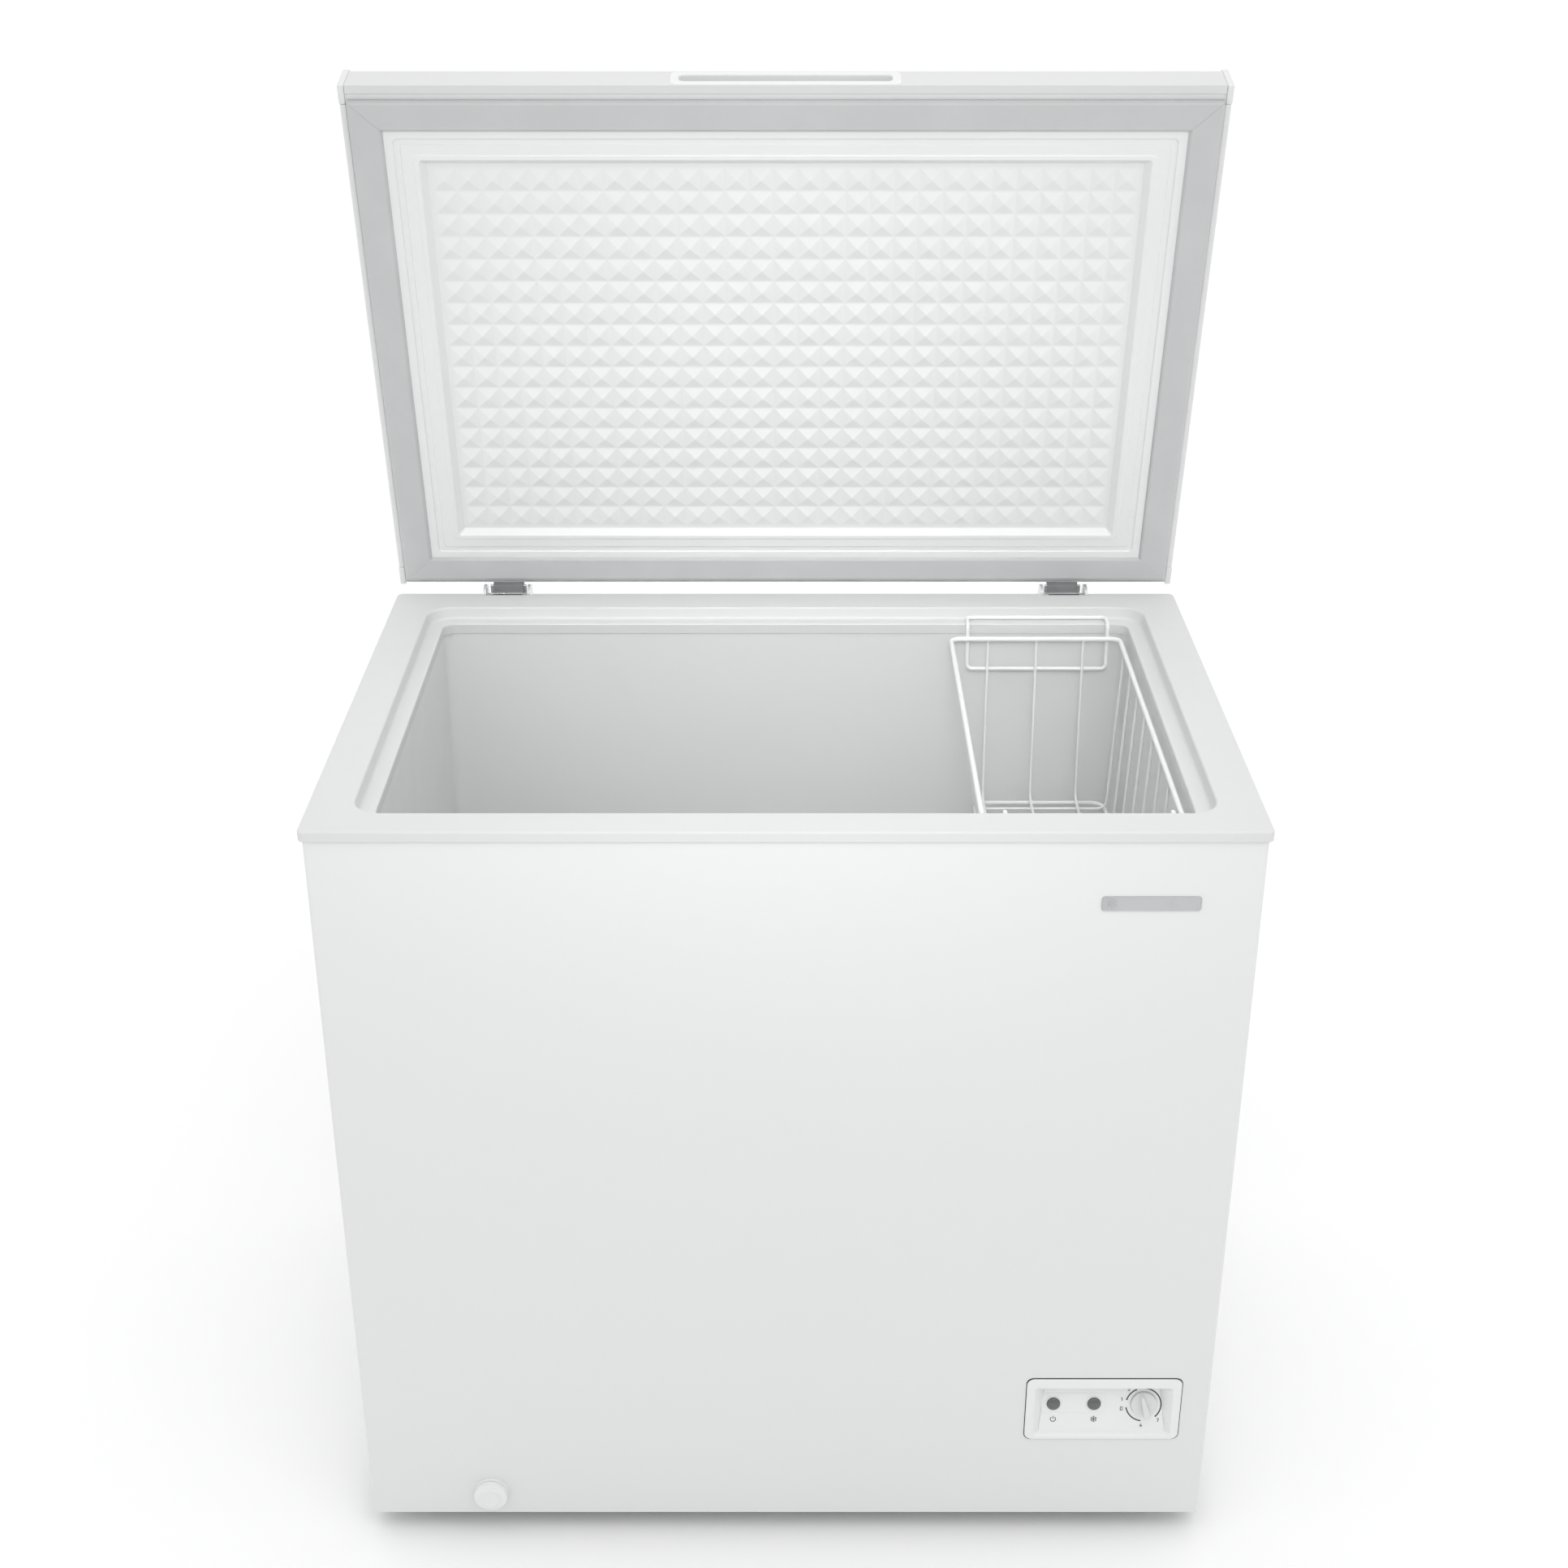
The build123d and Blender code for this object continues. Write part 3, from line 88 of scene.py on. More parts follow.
CAMERA_X = -0.0015
CAMERA_AHEAD = 1.6466
CAMERA_ABOVE_PANEL = 0.8606
PANEL_BELOW_RIM = 0.0094
CAMERA_PITCH = 26.13
CAMERA_LENS = 51.04
CAMERA_SENSOR = 36.0

camera = add_object("camera", bpy.data.cameras.new("camera"))
camera_height = RIM_Z * MM - PANEL_BELOW_RIM + CAMERA_ABOVE_PANEL
camera.location = (CAMERA_X, wrap_low.y - CAMERA_AHEAD, camera_height)
camera.rotation_euler = (radians(90 - CAMERA_PITCH), 0, 0)
camera.data.lens = CAMERA_LENS
camera.data.sensor_width = CAMERA_SENSOR
bpy.context.scene.camera = camera
bpy.context.scene.view_settings.view_transform = "Standard"

KEY_WATTS = 2.8
LID_WATTS = 0.4
LID_SPREAD = 46.0
REAR_WATTS = 0.45
REAR_SPREAD = 24.0
SKY_HORIZON = 0.48
SKY_ZENITH = 1.34


def softbox(name, location, target, width, height, watts, spread=180.0):
    data = bpy.data.lights.new(name, "AREA")
    data.shape = "RECTANGLE"
    data.size = width
    data.size_y = height
    data.energy = watts
    data.spread = radians(spread)
    lamp = add_object(name, data)
    lamp.visible_camera = False
    lamp.location = location
    lamp.rotation_euler = (Vector(target) - Vector(location)).to_track_quat("-Z", "Y").to_euler()


softbox("key_light", (0.55, -1.35, 2.15), (0, 0.1, 0.85), 1.0, 0.8, KEY_WATTS)
softbox("lid_light", (0.35, -1.95, 2.25), (0, 0.22, 0.98), 0.7, 0.7, LID_WATTS, LID_SPREAD)
softbox("rear_light", (-0.1, -1.95, 2.0), (0, 0.24, 0.78), 0.6, 0.3, REAR_WATTS, REAR_SPREAD)

world = bpy.data.worlds.new("studio")
world.use_nodes = True
sky = world.node_tree
sky.nodes["Background"].inputs["Color"].default_value = (1, 1, 1, 1)
sky_height = sky.nodes.new("ShaderNodeSeparateXYZ")
sky.links.new(sky.nodes.new("ShaderNodeTexCoord").outputs["Generated"], sky_height.inputs["Vector"])
sky_level = sky.nodes.new("ShaderNodeMapRange")
sky_level.inputs["To Min"].default_value = SKY_HORIZON
sky_level.inputs["To Max"].default_value = SKY_ZENITH
sky.links.new(sky_height.outputs["Z"], sky_level.inputs["Value"])
sky.links.new(sky_level.outputs["Result"], sky.nodes["Background"].inputs["Strength"])
bpy.context.scene.world = world


# ---- materials


class Finish:
    """A principled surface whose colour, roughness and relief vary in the object's own space."""

    def __init__(self, name, colour, rough, metal=0.0, specular=0.5):
        self.material = bpy.data.materials.new(name)
        self.material.use_nodes = True
        self.tree = self.material.node_tree
        self.shader = self.tree.nodes["Principled BSDF"]
        self.colour = (*colour, 1.0)
        self.set("Base Color", self.colour)
        self.set("Roughness", rough)
        self.set("Metallic", metal)
        self.set("Specular IOR Level", specular)
        self.coords = self.tree.nodes.new("ShaderNodeTexCoord").outputs["Object"]
        self.normal = None

    def set(self, socket, value):
        self.shader.inputs[socket].default_value = value

    def node(self, kind, inputs, **properties):
        """Adds a node, and joins each input to another node's socket or sets it to a constant."""
        made = self.tree.nodes.new(kind)
        for key, value in properties.items():
            setattr(made, key, value)
        for key, value in inputs.items():
            if isinstance(value, bpy.types.NodeSocket):
                self.tree.links.new(value, made.inputs[key])
            else:
                made.inputs[key].default_value = value
        return made

    def noise(self, scale, detail=3.0, stretch=None, distortion=0.0):
        space = self.coords
        if stretch is not None:
            space = self.node("ShaderNodeMapping", {"Vector": space, "Scale": stretch}).outputs["Vector"]
        inputs = {"Vector": space, "Scale": scale, "Detail": detail, "Distortion": distortion}
        return self.node("ShaderNodeTexNoise", inputs).outputs["Fac"]

    def cells(self, scale, feature="F1", output="Distance"):
        inputs = {"Vector": self.coords, "Scale": scale}
        return self.node("ShaderNodeTexVoronoi", inputs, feature=feature).outputs[output]

    def span(self, value, low, high, out_low=0.0, out_high=1.0):
        """Maps a value's low-high range to another range, and stops at its ends."""
        inputs = {"Value": value, "From Min": low, "From Max": high, "To Min": out_low, "To Max": out_high}
        return self.node("ShaderNodeMapRange", inputs).outputs["Result"]

    def tint(self, mask, colour):
        """Blends towards a colour where the mask is high."""
        mix = self.node("ShaderNodeMix", {"Factor": mask}, data_type="RGBA")
        base = self.shader.inputs["Base Color"]
        if base.is_linked:
            self.tree.links.new(base.links[0].from_socket, mix.inputs["A"])
        else:
            mix.inputs["A"].default_value = self.colour
        mix.inputs["B"].default_value = (*colour, 1.0)
        self.tree.links.new(mix.outputs["Result"], base)
        return self

    def gloss(self, value, low, high, rough_low, rough_high):
        """Ties the roughness to a value's low-high range."""
        rough = self.span(value, low, high, rough_low, rough_high)
        self.tree.links.new(rough, self.shader.inputs["Roughness"])
        return self

    def relief(self, height, depth_mm, strength=1.0):
        """Adds a bump of this depth on top of those already there."""
        inputs = {"Height": height, "Distance": depth_mm * MM, "Strength": strength}
        if self.normal is not None:
            inputs["Normal"] = self.normal
        self.normal = self.node("ShaderNodeBump", inputs).outputs["Normal"]
        self.tree.links.new(self.normal, self.shader.inputs["Normal"])
        return self


def shade(colour, factor, lift=0.0):
    return [min(1.0, c * factor + lift) for c in colour]


def enamel(name, colour, rough):
    """Sprayed and baked paint: faint orange peel, cloudy gloss and a few specks."""
    paint = Finish(name, colour, rough)
    cloud = paint.noise(3.0, 4.0)
    paint.tint(paint.span(cloud, 0.35, 0.7, 0.0, 0.35), shade(colour, 0.985))
    specks = paint.cells(90.0)
    paint.tint(paint.span(specks, 0.035, 0.02), shade(colour, 0.9))
    paint.gloss(paint.noise(14.0, 5.0), 0.3, 0.7, rough - 0.04, rough + 0.06)
    paint.relief(paint.noise(420.0, 2.0), 0.03, 0.25)
    return paint.relief(paint.noise(60.0, 1.0), 0.05, 0.1)


def moulded(name, colour, rough, grain=1700.0, depth=0.03):
    """Injection-moulded plastic: a fine grain, slow sink marks and slight mottling."""
    plastic = Finish(name, colour, rough)
    plastic.tint(plastic.span(plastic.noise(7.0, 4.0), 0.4, 0.75, 0.0, 0.5), shade(colour, 0.965))
    plastic.gloss(plastic.noise(45.0, 4.0), 0.3, 0.7, rough - 0.05, rough + 0.08)
    plastic.relief(plastic.noise(16.0, 1.0), 0.12, 0.15)
    return plastic.relief(plastic.noise(grain, 2.0), depth, 0.35)


def rubber(name, colour, rough=0.62):
    """Soft extruded rubber or vinyl: fine drag lines, a bloom of dust and no hard gloss."""
    skin = Finish(name, colour, rough, specular=0.35)
    skin.tint(skin.span(skin.noise(22.0, 5.0), 0.45, 0.75, 0.0, 0.6), shade(colour, 1.07, 0.004))
    skin.gloss(skin.noise(80.0, 4.0), 0.3, 0.7, rough - 0.08, rough + 0.12)
    skin.relief(skin.noise(900.0, 3.0), 0.04, 0.4)
    return skin


def galvanised(name, colour):
    """Hot-dip zinc: angular spangles that each catch the light differently."""
    zinc = Finish(name, colour, 0.42, metal=0.85)
    spangle = zinc.cells(130.0, output="Color")
    grey = zinc.node("ShaderNodeRGBToBW", {"Color": spangle}).outputs["Val"]
    zinc.tint(zinc.span(grey, 0.2, 0.8, 0.0, 0.6), shade(colour, 0.86))
    zinc.gloss(grey, 0.2, 0.8, 0.38, 0.48)
    zinc.tint(zinc.span(zinc.noise(5.0, 5.0), 0.55, 0.8, 0.0, 0.5), (0.70, 0.71, 0.72))
    return zinc.relief(zinc.noise(300.0, 3.0), 0.02, 0.2)


def drawn_metal(name, colour, rough, stretch, aged, metal=1.0):
    """Drawn or rolled metal: long fine scratches and patches of tarnish."""
    bar = Finish(name, colour, rough, metal=metal)
    scratches = bar.noise(60.0, 5.0, stretch=stretch)
    bar.tint(bar.span(bar.noise(26.0, 5.0, distortion=0.6), 0.48, 0.72, 0.0, 0.75), aged)
    bar.gloss(scratches, 0.3, 0.7, rough - 0.07, rough + 0.13)
    return bar.relief(scratches, 0.03, 0.3)


def painted_iron(name, colour, rough, peel=260.0):
    """Thick dark paint on a pressing: slight runs, dust in the hollows and a fine peel."""
    coat = Finish(name, colour, rough)
    coat.tint(coat.span(coat.noise(40.0, 6.0), 0.5, 0.8, 0.0, 0.35), shade(colour, 1.5, 0.02))
    coat.gloss(coat.noise(30.0, 4.0), 0.3, 0.7, rough - 0.08, rough + 0.14)
    return coat.relief(coat.noise(peel, 3.0), 0.06, 0.3)


def cast_iron(name, colour):
    """Rough dark castings and steel sheets, mottled and pitted."""
    iron = Finish(name, colour, 0.6, metal=0.7)
    iron.tint(iron.span(iron.noise(70.0, 6.0), 0.4, 0.7), shade(colour, 0.6))
    return iron.relief(iron.noise(420.0, 4.0), 0.15, 0.6)


def foamed(name, colour):
    """Cut polyurethane foam: small open bubbles with painted shade in their hollows, in a matte, slightly uneven
    yellow.
    """
    foam = Finish(name, colour, 0.95, specular=0.2)
    bubbles = foam.cells(340.0)
    foam.tint(foam.span(foam.noise(12.0, 5.0), 0.4, 0.7, 0.0, 0.7), shade(colour, 0.88))
    # Painted shade: darkens each bubble's hollow, where the bump below is lowest.
    foam.tint(foam.span(bubbles, 0.28, 0.08, 0.0, 0.6), shade(colour, 0.7))
    return foam.relief(bubbles, 0.4, 0.5)


def stucco_aluminium(name, colour):
    """Pre-painted aluminium sheet with a faint pebbled emboss."""
    sheet = Finish(name, colour, 0.34, metal=0.1)
    pebble = sheet.cells(160.0, feature="SMOOTH_F1")
    sheet.tint(sheet.span(sheet.noise(4.0, 4.0), 0.4, 0.7, 0.0, 0.4), shade(colour, 0.97))
    sheet.gloss(sheet.noise(30.0, 4.0), 0.3, 0.7, 0.30, 0.42)
    return sheet.relief(pebble, 0.05, 0.25)


def smoked(name, colour):
    """Tinted clear plastic with a prism pattern on its inner face."""
    lens = Finish(name, colour, 0.16, specular=0.6)
    lens.tint(lens.span(lens.cells(900.0), 0.1, 0.5, 0.0, 0.45), shade(colour, 1.35))
    lens.gloss(lens.noise(200.0, 3.0), 0.3, 0.7, 0.12, 0.22)
    lens.set("Coat Weight", 0.4)
    lens.set("Coat Roughness", 0.08)
    return lens.relief(lens.noise(160.0, 2.0), 0.02, 0.2)


def coated_wire(name, colour):
    """Vinyl-dipped steel wire: glossy, with slight ripples where the coating ran."""
    coat = Finish(name, colour, 0.27)
    coat.tint(coat.span(coat.noise(60.0, 3.0), 0.45, 0.75, 0.0, 0.5), shade(colour, 0.95))
    coat.gloss(coat.noise(60.0, 3.0), 0.3, 0.7, 0.36, 0.44)
    return coat.relief(coat.noise(60.0, 2.0), 0.01, 0.3)


WHITE = (0.78, 0.785, 0.785)
LID_WHITE = (0.69, 0.695, 0.695)
FINISHES = {
    "white_enamel_steel": enamel("white_enamel", WHITE, 0.34),
    "lid_enamel_steel": enamel("lid_enamel", LID_WHITE, 0.34),
    "galvanised_steel": galvanised("galvanised", (0.62, 0.63, 0.64)),
    "white_rim_plastic": moulded("rim_plastic", LID_WHITE, 0.42),
    "white_trim_plastic": moulded("trim_plastic", (0.755, 0.76, 0.76), 0.38),
    "liner_aluminium": stucco_aluminium("painted_liner", WHITE),
    "white_lid_liner": moulded("lid_liner_plastic", (0.81, 0.815, 0.815), 0.36, grain=1300.0),
    "grey_gasket": rubber("gasket_vinyl", (0.54, 0.545, 0.55), 0.5),
    "foam": foamed("polyurethane_foam", (0.80, 0.70, 0.42)),
    "copper_pipe": drawn_metal("copper", (0.80, 0.42, 0.27), 0.3, (1, 1, 6), (0.42, 0.20, 0.12)),
    "steel_pipe": drawn_metal("steel_tube", (0.46, 0.45, 0.44), 0.36, (6, 1, 1), (0.25, 0.21, 0.18)),
    "black_steel": painted_iron("black_paint", (0.018, 0.018, 0.019), 0.32),
    "motor_iron": cast_iron("motor_iron", (0.16, 0.16, 0.17)),
    "black_rubber": rubber("black_rubber", (0.025, 0.025, 0.026)),
    "black_plastic": moulded("black_plastic", (0.03, 0.03, 0.031), 0.5, grain=1100.0, depth=0.05),
    "zinc_screw": drawn_metal("zinc_plating", (0.68, 0.69, 0.70), 0.3, (1, 8, 1), (0.48, 0.47, 0.42)),
    "white_panel_plastic": moulded("panel_plastic", (0.84, 0.845, 0.845), 0.36),
    "knob_plastic": moulded("knob_plastic", (0.73, 0.735, 0.735), 0.32, grain=2200.0, depth=0.02),
    "smoked_lens": smoked("smoked_lens", (0.1, 0.1, 0.103)),
    "white_coated_wire": coated_wire("wire_coating", (0.88, 0.885, 0.885)),
    "grey_hinge_steel": painted_iron("hinge_grey_paint", (0.30, 0.303, 0.307), 0.4, peel=500.0),
    "light_hinge_steel": drawn_metal("hinge_zinc", (0.82, 0.83, 0.84), 0.3, (1, 1, 5), (0.58, 0.58, 0.57),
                                     metal=0.7),
    "nameplate_plastic": drawn_metal("plate_foil", (0.52, 0.525, 0.53), 0.34, (1, 1, 30),
                                     (0.46, 0.465, 0.47), metal=0.3),
    "grey_handle_plastic": moulded("handle_plastic", (0.80, 0.805, 0.805), 0.4),
}
# A grey finish for the painted shadow along the liner's lap seam.
SEAM_SHADE_FINISH = rubber("grey_seam_shadow_paint", (0.34, 0.345, 0.35))
PRINT = moulded("printed_marks", (0.04, 0.04, 0.042), 0.55, grain=2600.0, depth=0.01)


# ---- shape kit


def rounded(x0, x1, y0, y1, r, seg=6):
    """The outline of a rectangle with rounded corners, anticlockwise."""
    outline = []
    corners = ((x1 - r, y1 - r), (x0 + r, y1 - r), (x0 + r, y0 + r), (x1 - r, y0 + r))
    for quarter, (cx, cy) in enumerate(corners):
        for i in range(seg + 1):
            a = (quarter + i / seg) * pi / 2
            outline.append((cx + r * cos(a), cy + r * sin(a)))
    return outline


def softened(points, radii, seg=4):
    """A line through the points with its inner corners rounded, by one radius or by one for each."""
    points = [Vector(p) for p in points]
    if isinstance(radii, (int, float)):
        radii = [radii] * (len(points) - 2)
    line = [points[0]]
    for before, corner, after, r in zip(points, points[1:], points[2:], radii):
        u = (before - corner).normalized()
        v = (after - corner).normalized()
        angle = u.angle(v)
        if r <= 0 or angle > pi - 0.001:
            line.append(corner)
            continue
        centre = corner + (u + v).normalized() * (r / sin(angle / 2))
        start = corner + u * (r / tan(angle / 2)) - centre
        end = corner + v * (r / tan(angle / 2)) - centre
        turn = pi - angle
        for i in range(seg + 1):
            share = i / seg
            line.append(centre + (start * sin((1 - share) * turn) + end * sin(share * turn)) / sin(turn))
    line.append(points[-1])
    return line


def loft(bm, rings, closed=False, end_cap=True):
    """Skins rings of equal length; closed joins the last ring to the first."""
    made = [[bm.verts.new(p) for p in ring] for ring in rings]
    pairs = list(zip(made, made[1:]))
    if closed:
        pairs.append((made[-1], made[0]))
    for a, b in pairs:
        n = len(a)
        for i in range(n):
            bm.faces.new((a[i], a[(i + 1) % n], b[(i + 1) % n], b[i]))
    if not closed:
        bm.faces.new(made[0])
    if end_cap and not closed:
        bm.faces.new(made[-1])
    return made


# A point on a turned piece's axis is a ring this small, which piece() merges.
AXIS_R = 0.0005


def lathe(bm, profile, centre, sides=48):
    """Turns a profile of (radius, height) points, in millimetres, about the line forwards from centre."""
    axis = Vector((0, -1, 0))
    side = axis.orthogonal().normalized()
    up = axis.cross(side)
    angles = [2 * pi * i / sides for i in range(sides)]
    rings = []
    for r, h in profile:
        middle = centre + axis * (h * MM)
        reach = max(r, AXIS_R) * MM
        rings.append([middle + (side * cos(a) + up * sin(a)) * reach for a in angles])
    loft(bm, rings)


def bevel(bm, edges, r, segments, clamp=False):
    """Rounds edges to a radius in millimetres."""
    return bmesh.ops.bevel(bm, geom=edges, offset=r * MM, segments=segments, profile=0.5, affect="EDGES",
                           clamp_overlap=clamp)


def box_shape(bm, low, high, r, first=None, first_r=0.0):
    """A box with rounded edges; first picks edges, by their middle, that get the larger radius first_r."""
    low, high = Vector(map(min, low, high)), Vector(map(max, low, high))
    matrix = Matrix.Translation((low + high) / 2) @ Matrix.Diagonal((*(high - low), 1))
    verts = bmesh.ops.create_cube(bm, size=1, matrix=matrix)["verts"]
    edges = list({e for v in verts for e in v.link_edges})
    if first is not None:
        chosen = [e for e in edges if first((e.verts[0].co + e.verts[1].co) / 2)]
        made = bevel(bm, chosen, first_r, 8)
        verts = {v for v in verts if v.is_valid} | set(made["verts"])
        edges = [e for e in {e for v in verts for e in v.link_edges} if e.calc_face_angle(0) > radians(25)]
    if r > 0:
        bevel(bm, edges, r, 3, clamp=True)


def wire(bm, points, r, bend, closed=False, sides=10, seg=6):
    """A round wire, r millimetres thick in radius, along runs joined by bends; points are in millimetres."""
    points = [Vector(p) for p in points]
    if closed:
        middle = (points[0] + points[-1]) / 2
        line = softened([middle] + points + [middle], bend, seg)[:-1]
    else:
        line = softened(points, bend, seg)
    line = [place(*p) for p in line]
    count = len(line)
    tangents = []
    for i in range(count):
        ahead = line[(i + 1) % count] if closed or i < count - 1 else line[i]
        behind = line[i - 1] if closed or i > 0 else line[i]
        tangents.append((ahead - behind).normalized())
    side = tangents[0].orthogonal().normalized()
    ring_sides = [side]
    for a, b in zip(tangents, tangents[1:] + tangents[:1]):
        side = a.rotation_difference(b) @ side
        side = (side - b * side.dot(b)).normalized()
        ring_sides.append(side)
    last = ring_sides.pop()
    slip = 0.0
    if closed:
        up = tangents[0].cross(ring_sides[0])
        slip = atan2(last.dot(up), last.dot(ring_sides[0]))
    rings = []
    for i, (centre, tangent, side) in enumerate(zip(line, tangents, ring_sides)):
        up = tangent.cross(side)
        start = -slip * i / count
        angles = [start + 2 * pi * k / sides for k in range(sides)]
        rings.append([centre + (side * cos(a) + up * sin(a)) * (r * MM) for a in angles])
    loft(bm, rings, closed=closed)


def bead(bm, centre, r, stretch=(1, 1, 1)):
    """A small blob of weld or coating."""
    matrix = Matrix.Translation(centre) @ Matrix.Diagonal((*stretch, 1))
    bmesh.ops.create_uvsphere(bm, u_segments=12, v_segments=8, radius=r * MM, matrix=matrix)


SHARP_ANGLE = 32.0


def piece(name, bm, slot, body, replaces=(), turn=None, finish=None, sharp=SHARP_ANGLE):
    """Makes the finished object, gives it its material, and hangs it on its body."""
    bmesh.ops.remove_doubles(bm, verts=bm.verts, dist=0.002 * MM)
    bmesh.ops.recalc_face_normals(bm, faces=bm.faces)
    mesh = bpy.data.meshes.new(name)
    bm.to_mesh(mesh)
    bm.free()
    if turn:
        mesh.transform(turn)
    mesh.shade_smooth()
    mesh.set_sharp_from_angle(angle=radians(sharp))
    made = add_object(name, mesh)
    mesh.materials.append((finish or FINISHES[slot]).material)
    weighted = made.modifiers.new("even_normals", "WEIGHTED_NORMAL")
    weighted.keep_sharp = True
    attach(made, body)
    if replaces:
        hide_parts(*replaces)
    return made


def cut(made, cutter):
    """Takes a cutter mesh away from a finished piece."""
    mesh = bpy.data.meshes.new("cutter")
    bmesh.ops.recalc_face_normals(cutter, faces=cutter.faces)
    cutter.to_mesh(mesh)
    cutter.free()
    tool = add_object("cutter", mesh)
    boolean = made.modifiers.new("cut", "BOOLEAN")
    boolean.operation = "DIFFERENCE"
    boolean.solver = "EXACT"
    boolean.object = tool
    made.modifiers.move(1, 0)
    made.modifiers["even_normals"].show_viewport = False
    bpy.context.view_layer.update()
    result = bpy.data.meshes.new_from_object(made.evaluated_get(bpy.context.evaluated_depsgraph_get()))
    made.modifiers.remove(boolean)
    made.data = result
    made.modifiers["even_normals"].show_viewport = True
    result.shade_smooth()
    result.set_sharp_from_angle(angle=radians(SHARP_ANGLE))
    bpy.data.objects.remove(tool)


# ---- rim collar

RIM_H = 9.4
RIM_PLATE = 2.5
RIM_OUTER = (RIM_X, 0.0, RIM_D, 6.0)
RECESS = (369.0, 37.0, 508.0, 25.0)
MOUTH = (352.5, 53.0, 492.0, 12.0)
RECESS_DROP = 12.0
STEP_DRAFT = 2.4
SKIRT_T = 1.5
SKIRT_H = 11.0
NOTCH_IN = 2.0
NOTCH_GAP = 1.5


def level_ring(outline, grow, z):
    """A cabinet-wide loop at height z, grown outwards from (half width, front, rear, corner radius)."""
    half, front, rear, r = outline
    ring = rounded(-half - grow, half + grow, front - grow, rear + grow, max(r + grow, 0.3), seg=8)
    return [place(x, depth, z) for x, depth in ring]


def build_rim():
    """The moulded collar round the mouth, with its ledge and skirt, notched for the hinge brackets."""
    bm = bmesh.new()
    skirt_drop = RECESS_DROP + SKIRT_H
    under_drop = RECESS_DROP + RIM_PLATE
    outer = softened([(-RIM_PLATE, RIM_H), (0, RIM_H), (0, 0), (-8, 0)], [0.6, 1.6])
    step = softened([(8, 0), (0, 0), (-STEP_DRAFT, RECESS_DROP), (-9, RECESS_DROP)], [2.2, 3.0])
    lip = softened([(7, RECESS_DROP), (0, RECESS_DROP), (0, skirt_drop), (SKIRT_T, skirt_drop),
                    (SKIRT_T, under_drop), (10, under_drop)], [1.6, 0.6, 0.6, 1.0])
    under = [(RIM_PLATE, under_drop), (RIM_PLATE, RIM_PLATE), (20, RIM_PLATE)]
    inner_face = [(-RIM_PLATE - 0.7, RIM_PLATE)]
    section = ((RIM_OUTER, outer), (RECESS, step), (MOUTH, lip), (RECESS, under), (RIM_OUTER, inner_face))
    rings = [level_ring(outline, grow, RIM_Z - drop) for outline, profile in section
             for grow, drop in profile]
    loft(bm, rings, closed=True)
    made = piece("rim_collar_moulding", bm, "white_rim_plastic", "cabinet", ["rim_collar"])
    notch = bmesh.new()
    gap = NOTCH_GAP * MM
    for name in ("left_hinge_bracket", "right_hinge_bracket"):
        low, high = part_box(name)
        box_shape(notch, (low.x - gap, wrap_high.y - NOTCH_IN * MM, (RIM_Z - RIM_H - 1) * MM),
                  (high.x + gap, rim_high.y + 0.01, (RIM_Z + 1) * MM), 0)
    cut(made, notch)


build_rim()

# ---- cabinet liner

LINER = (354.0, 51.0, 494.0)
LINER_FLOOR_Z = 85.0
HUMP_X = 168.0
HUMP_Z = 325.0
FLANGE_Z = RIM_Z - RECESS_DROP - RIM_PLATE
FLANGE_REACH = 11.0
LINER_SHEET = 1.0
LINER_R = 11.0
STEP_R = 1.2
DRAIN_HOLE_R = 16.0
SEAM_SHIFT = 1.5
SEAM_HALF = 0.5
SEAM_PROUD = 0.1
SEAM_SUNK = 0.3


def build_liner():
    """The stepped tub: an L-shaped hollow with rounded corners, thickened outwards, and its top flange."""
    bm = bmesh.new()
    half, front, rear = LINER
    outline = [(-half, LINER_FLOOR_Z), (HUMP_X, LINER_FLOOR_Z), (HUMP_X, HUMP_Z), (half, HUMP_Z),
               (half, FLANGE_Z), (-half, FLANGE_Z)]
    loft(bm, [[place(x, depth, z) for x, z in outline] for depth in (front, rear)])
    top = (FLANGE_Z - 0.1) * MM

    def on_step(edge):
        """Whether an edge is the step's outer corner, which stays nearly sharp over the foam."""
        return all(abs(v.co.x - HUMP_X * MM) < MM and abs(v.co.z - HUMP_Z * MM) < MM for v in edge.verts)

    round_edges = [e for e in bm.edges if not all(v.co.z > top for v in e.verts) and not on_step(e)]
    bevel(bm, round_edges, LINER_R, 6)
    bevel(bm, [e for e in bm.edges if on_step(e)], STEP_R, 3)
    lids = [f for f in bm.faces if all(v.co.z > top for v in f.verts)]
    bmesh.ops.delete(bm, geom=lids, context="FACES")
    bmesh.ops.recalc_face_normals(bm, faces=bm.faces)
    inside = bm.faces[:]
    for face in inside:
        face.normal_update()
    if sum(f.normal.z * f.calc_area() for f in inside) < 0:
        bmesh.ops.reverse_faces(bm, faces=inside)
    flange = bmesh.ops.extrude_edge_only(bm, edges=[e for e in bm.edges if e.is_boundary])["geom"]
    middle = place(0, (front + rear) / 2, FLANGE_Z)
    for v in {g for g in flange if isinstance(g, bmesh.types.BMVert)}:
        away = v.co - middle
        v.co.x += (1 if away.x > 0 else -1) * FLANGE_REACH * MM
        v.co.y += (1 if away.y > 0 else -1) * FLANGE_REACH * MM
    bmesh.ops.solidify(bm, geom=bm.faces[:], thickness=-LINER_SHEET * MM)
    made = piece("cabinet_liner_tub", bm, "liner_aluminium", "cabinet", ["inner_liner"])
    drain_low, drain_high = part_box("drain_seat")
    hole = bmesh.new()
    radius = DRAIN_HOLE_R * MM
    bmesh.ops.create_cone(hole, cap_ends=True, segments=48, radius1=radius, radius2=radius, depth=6 * MM,
                          matrix=Matrix.Translation((drain_low + drain_high) / 2))
    cut(made, hole)


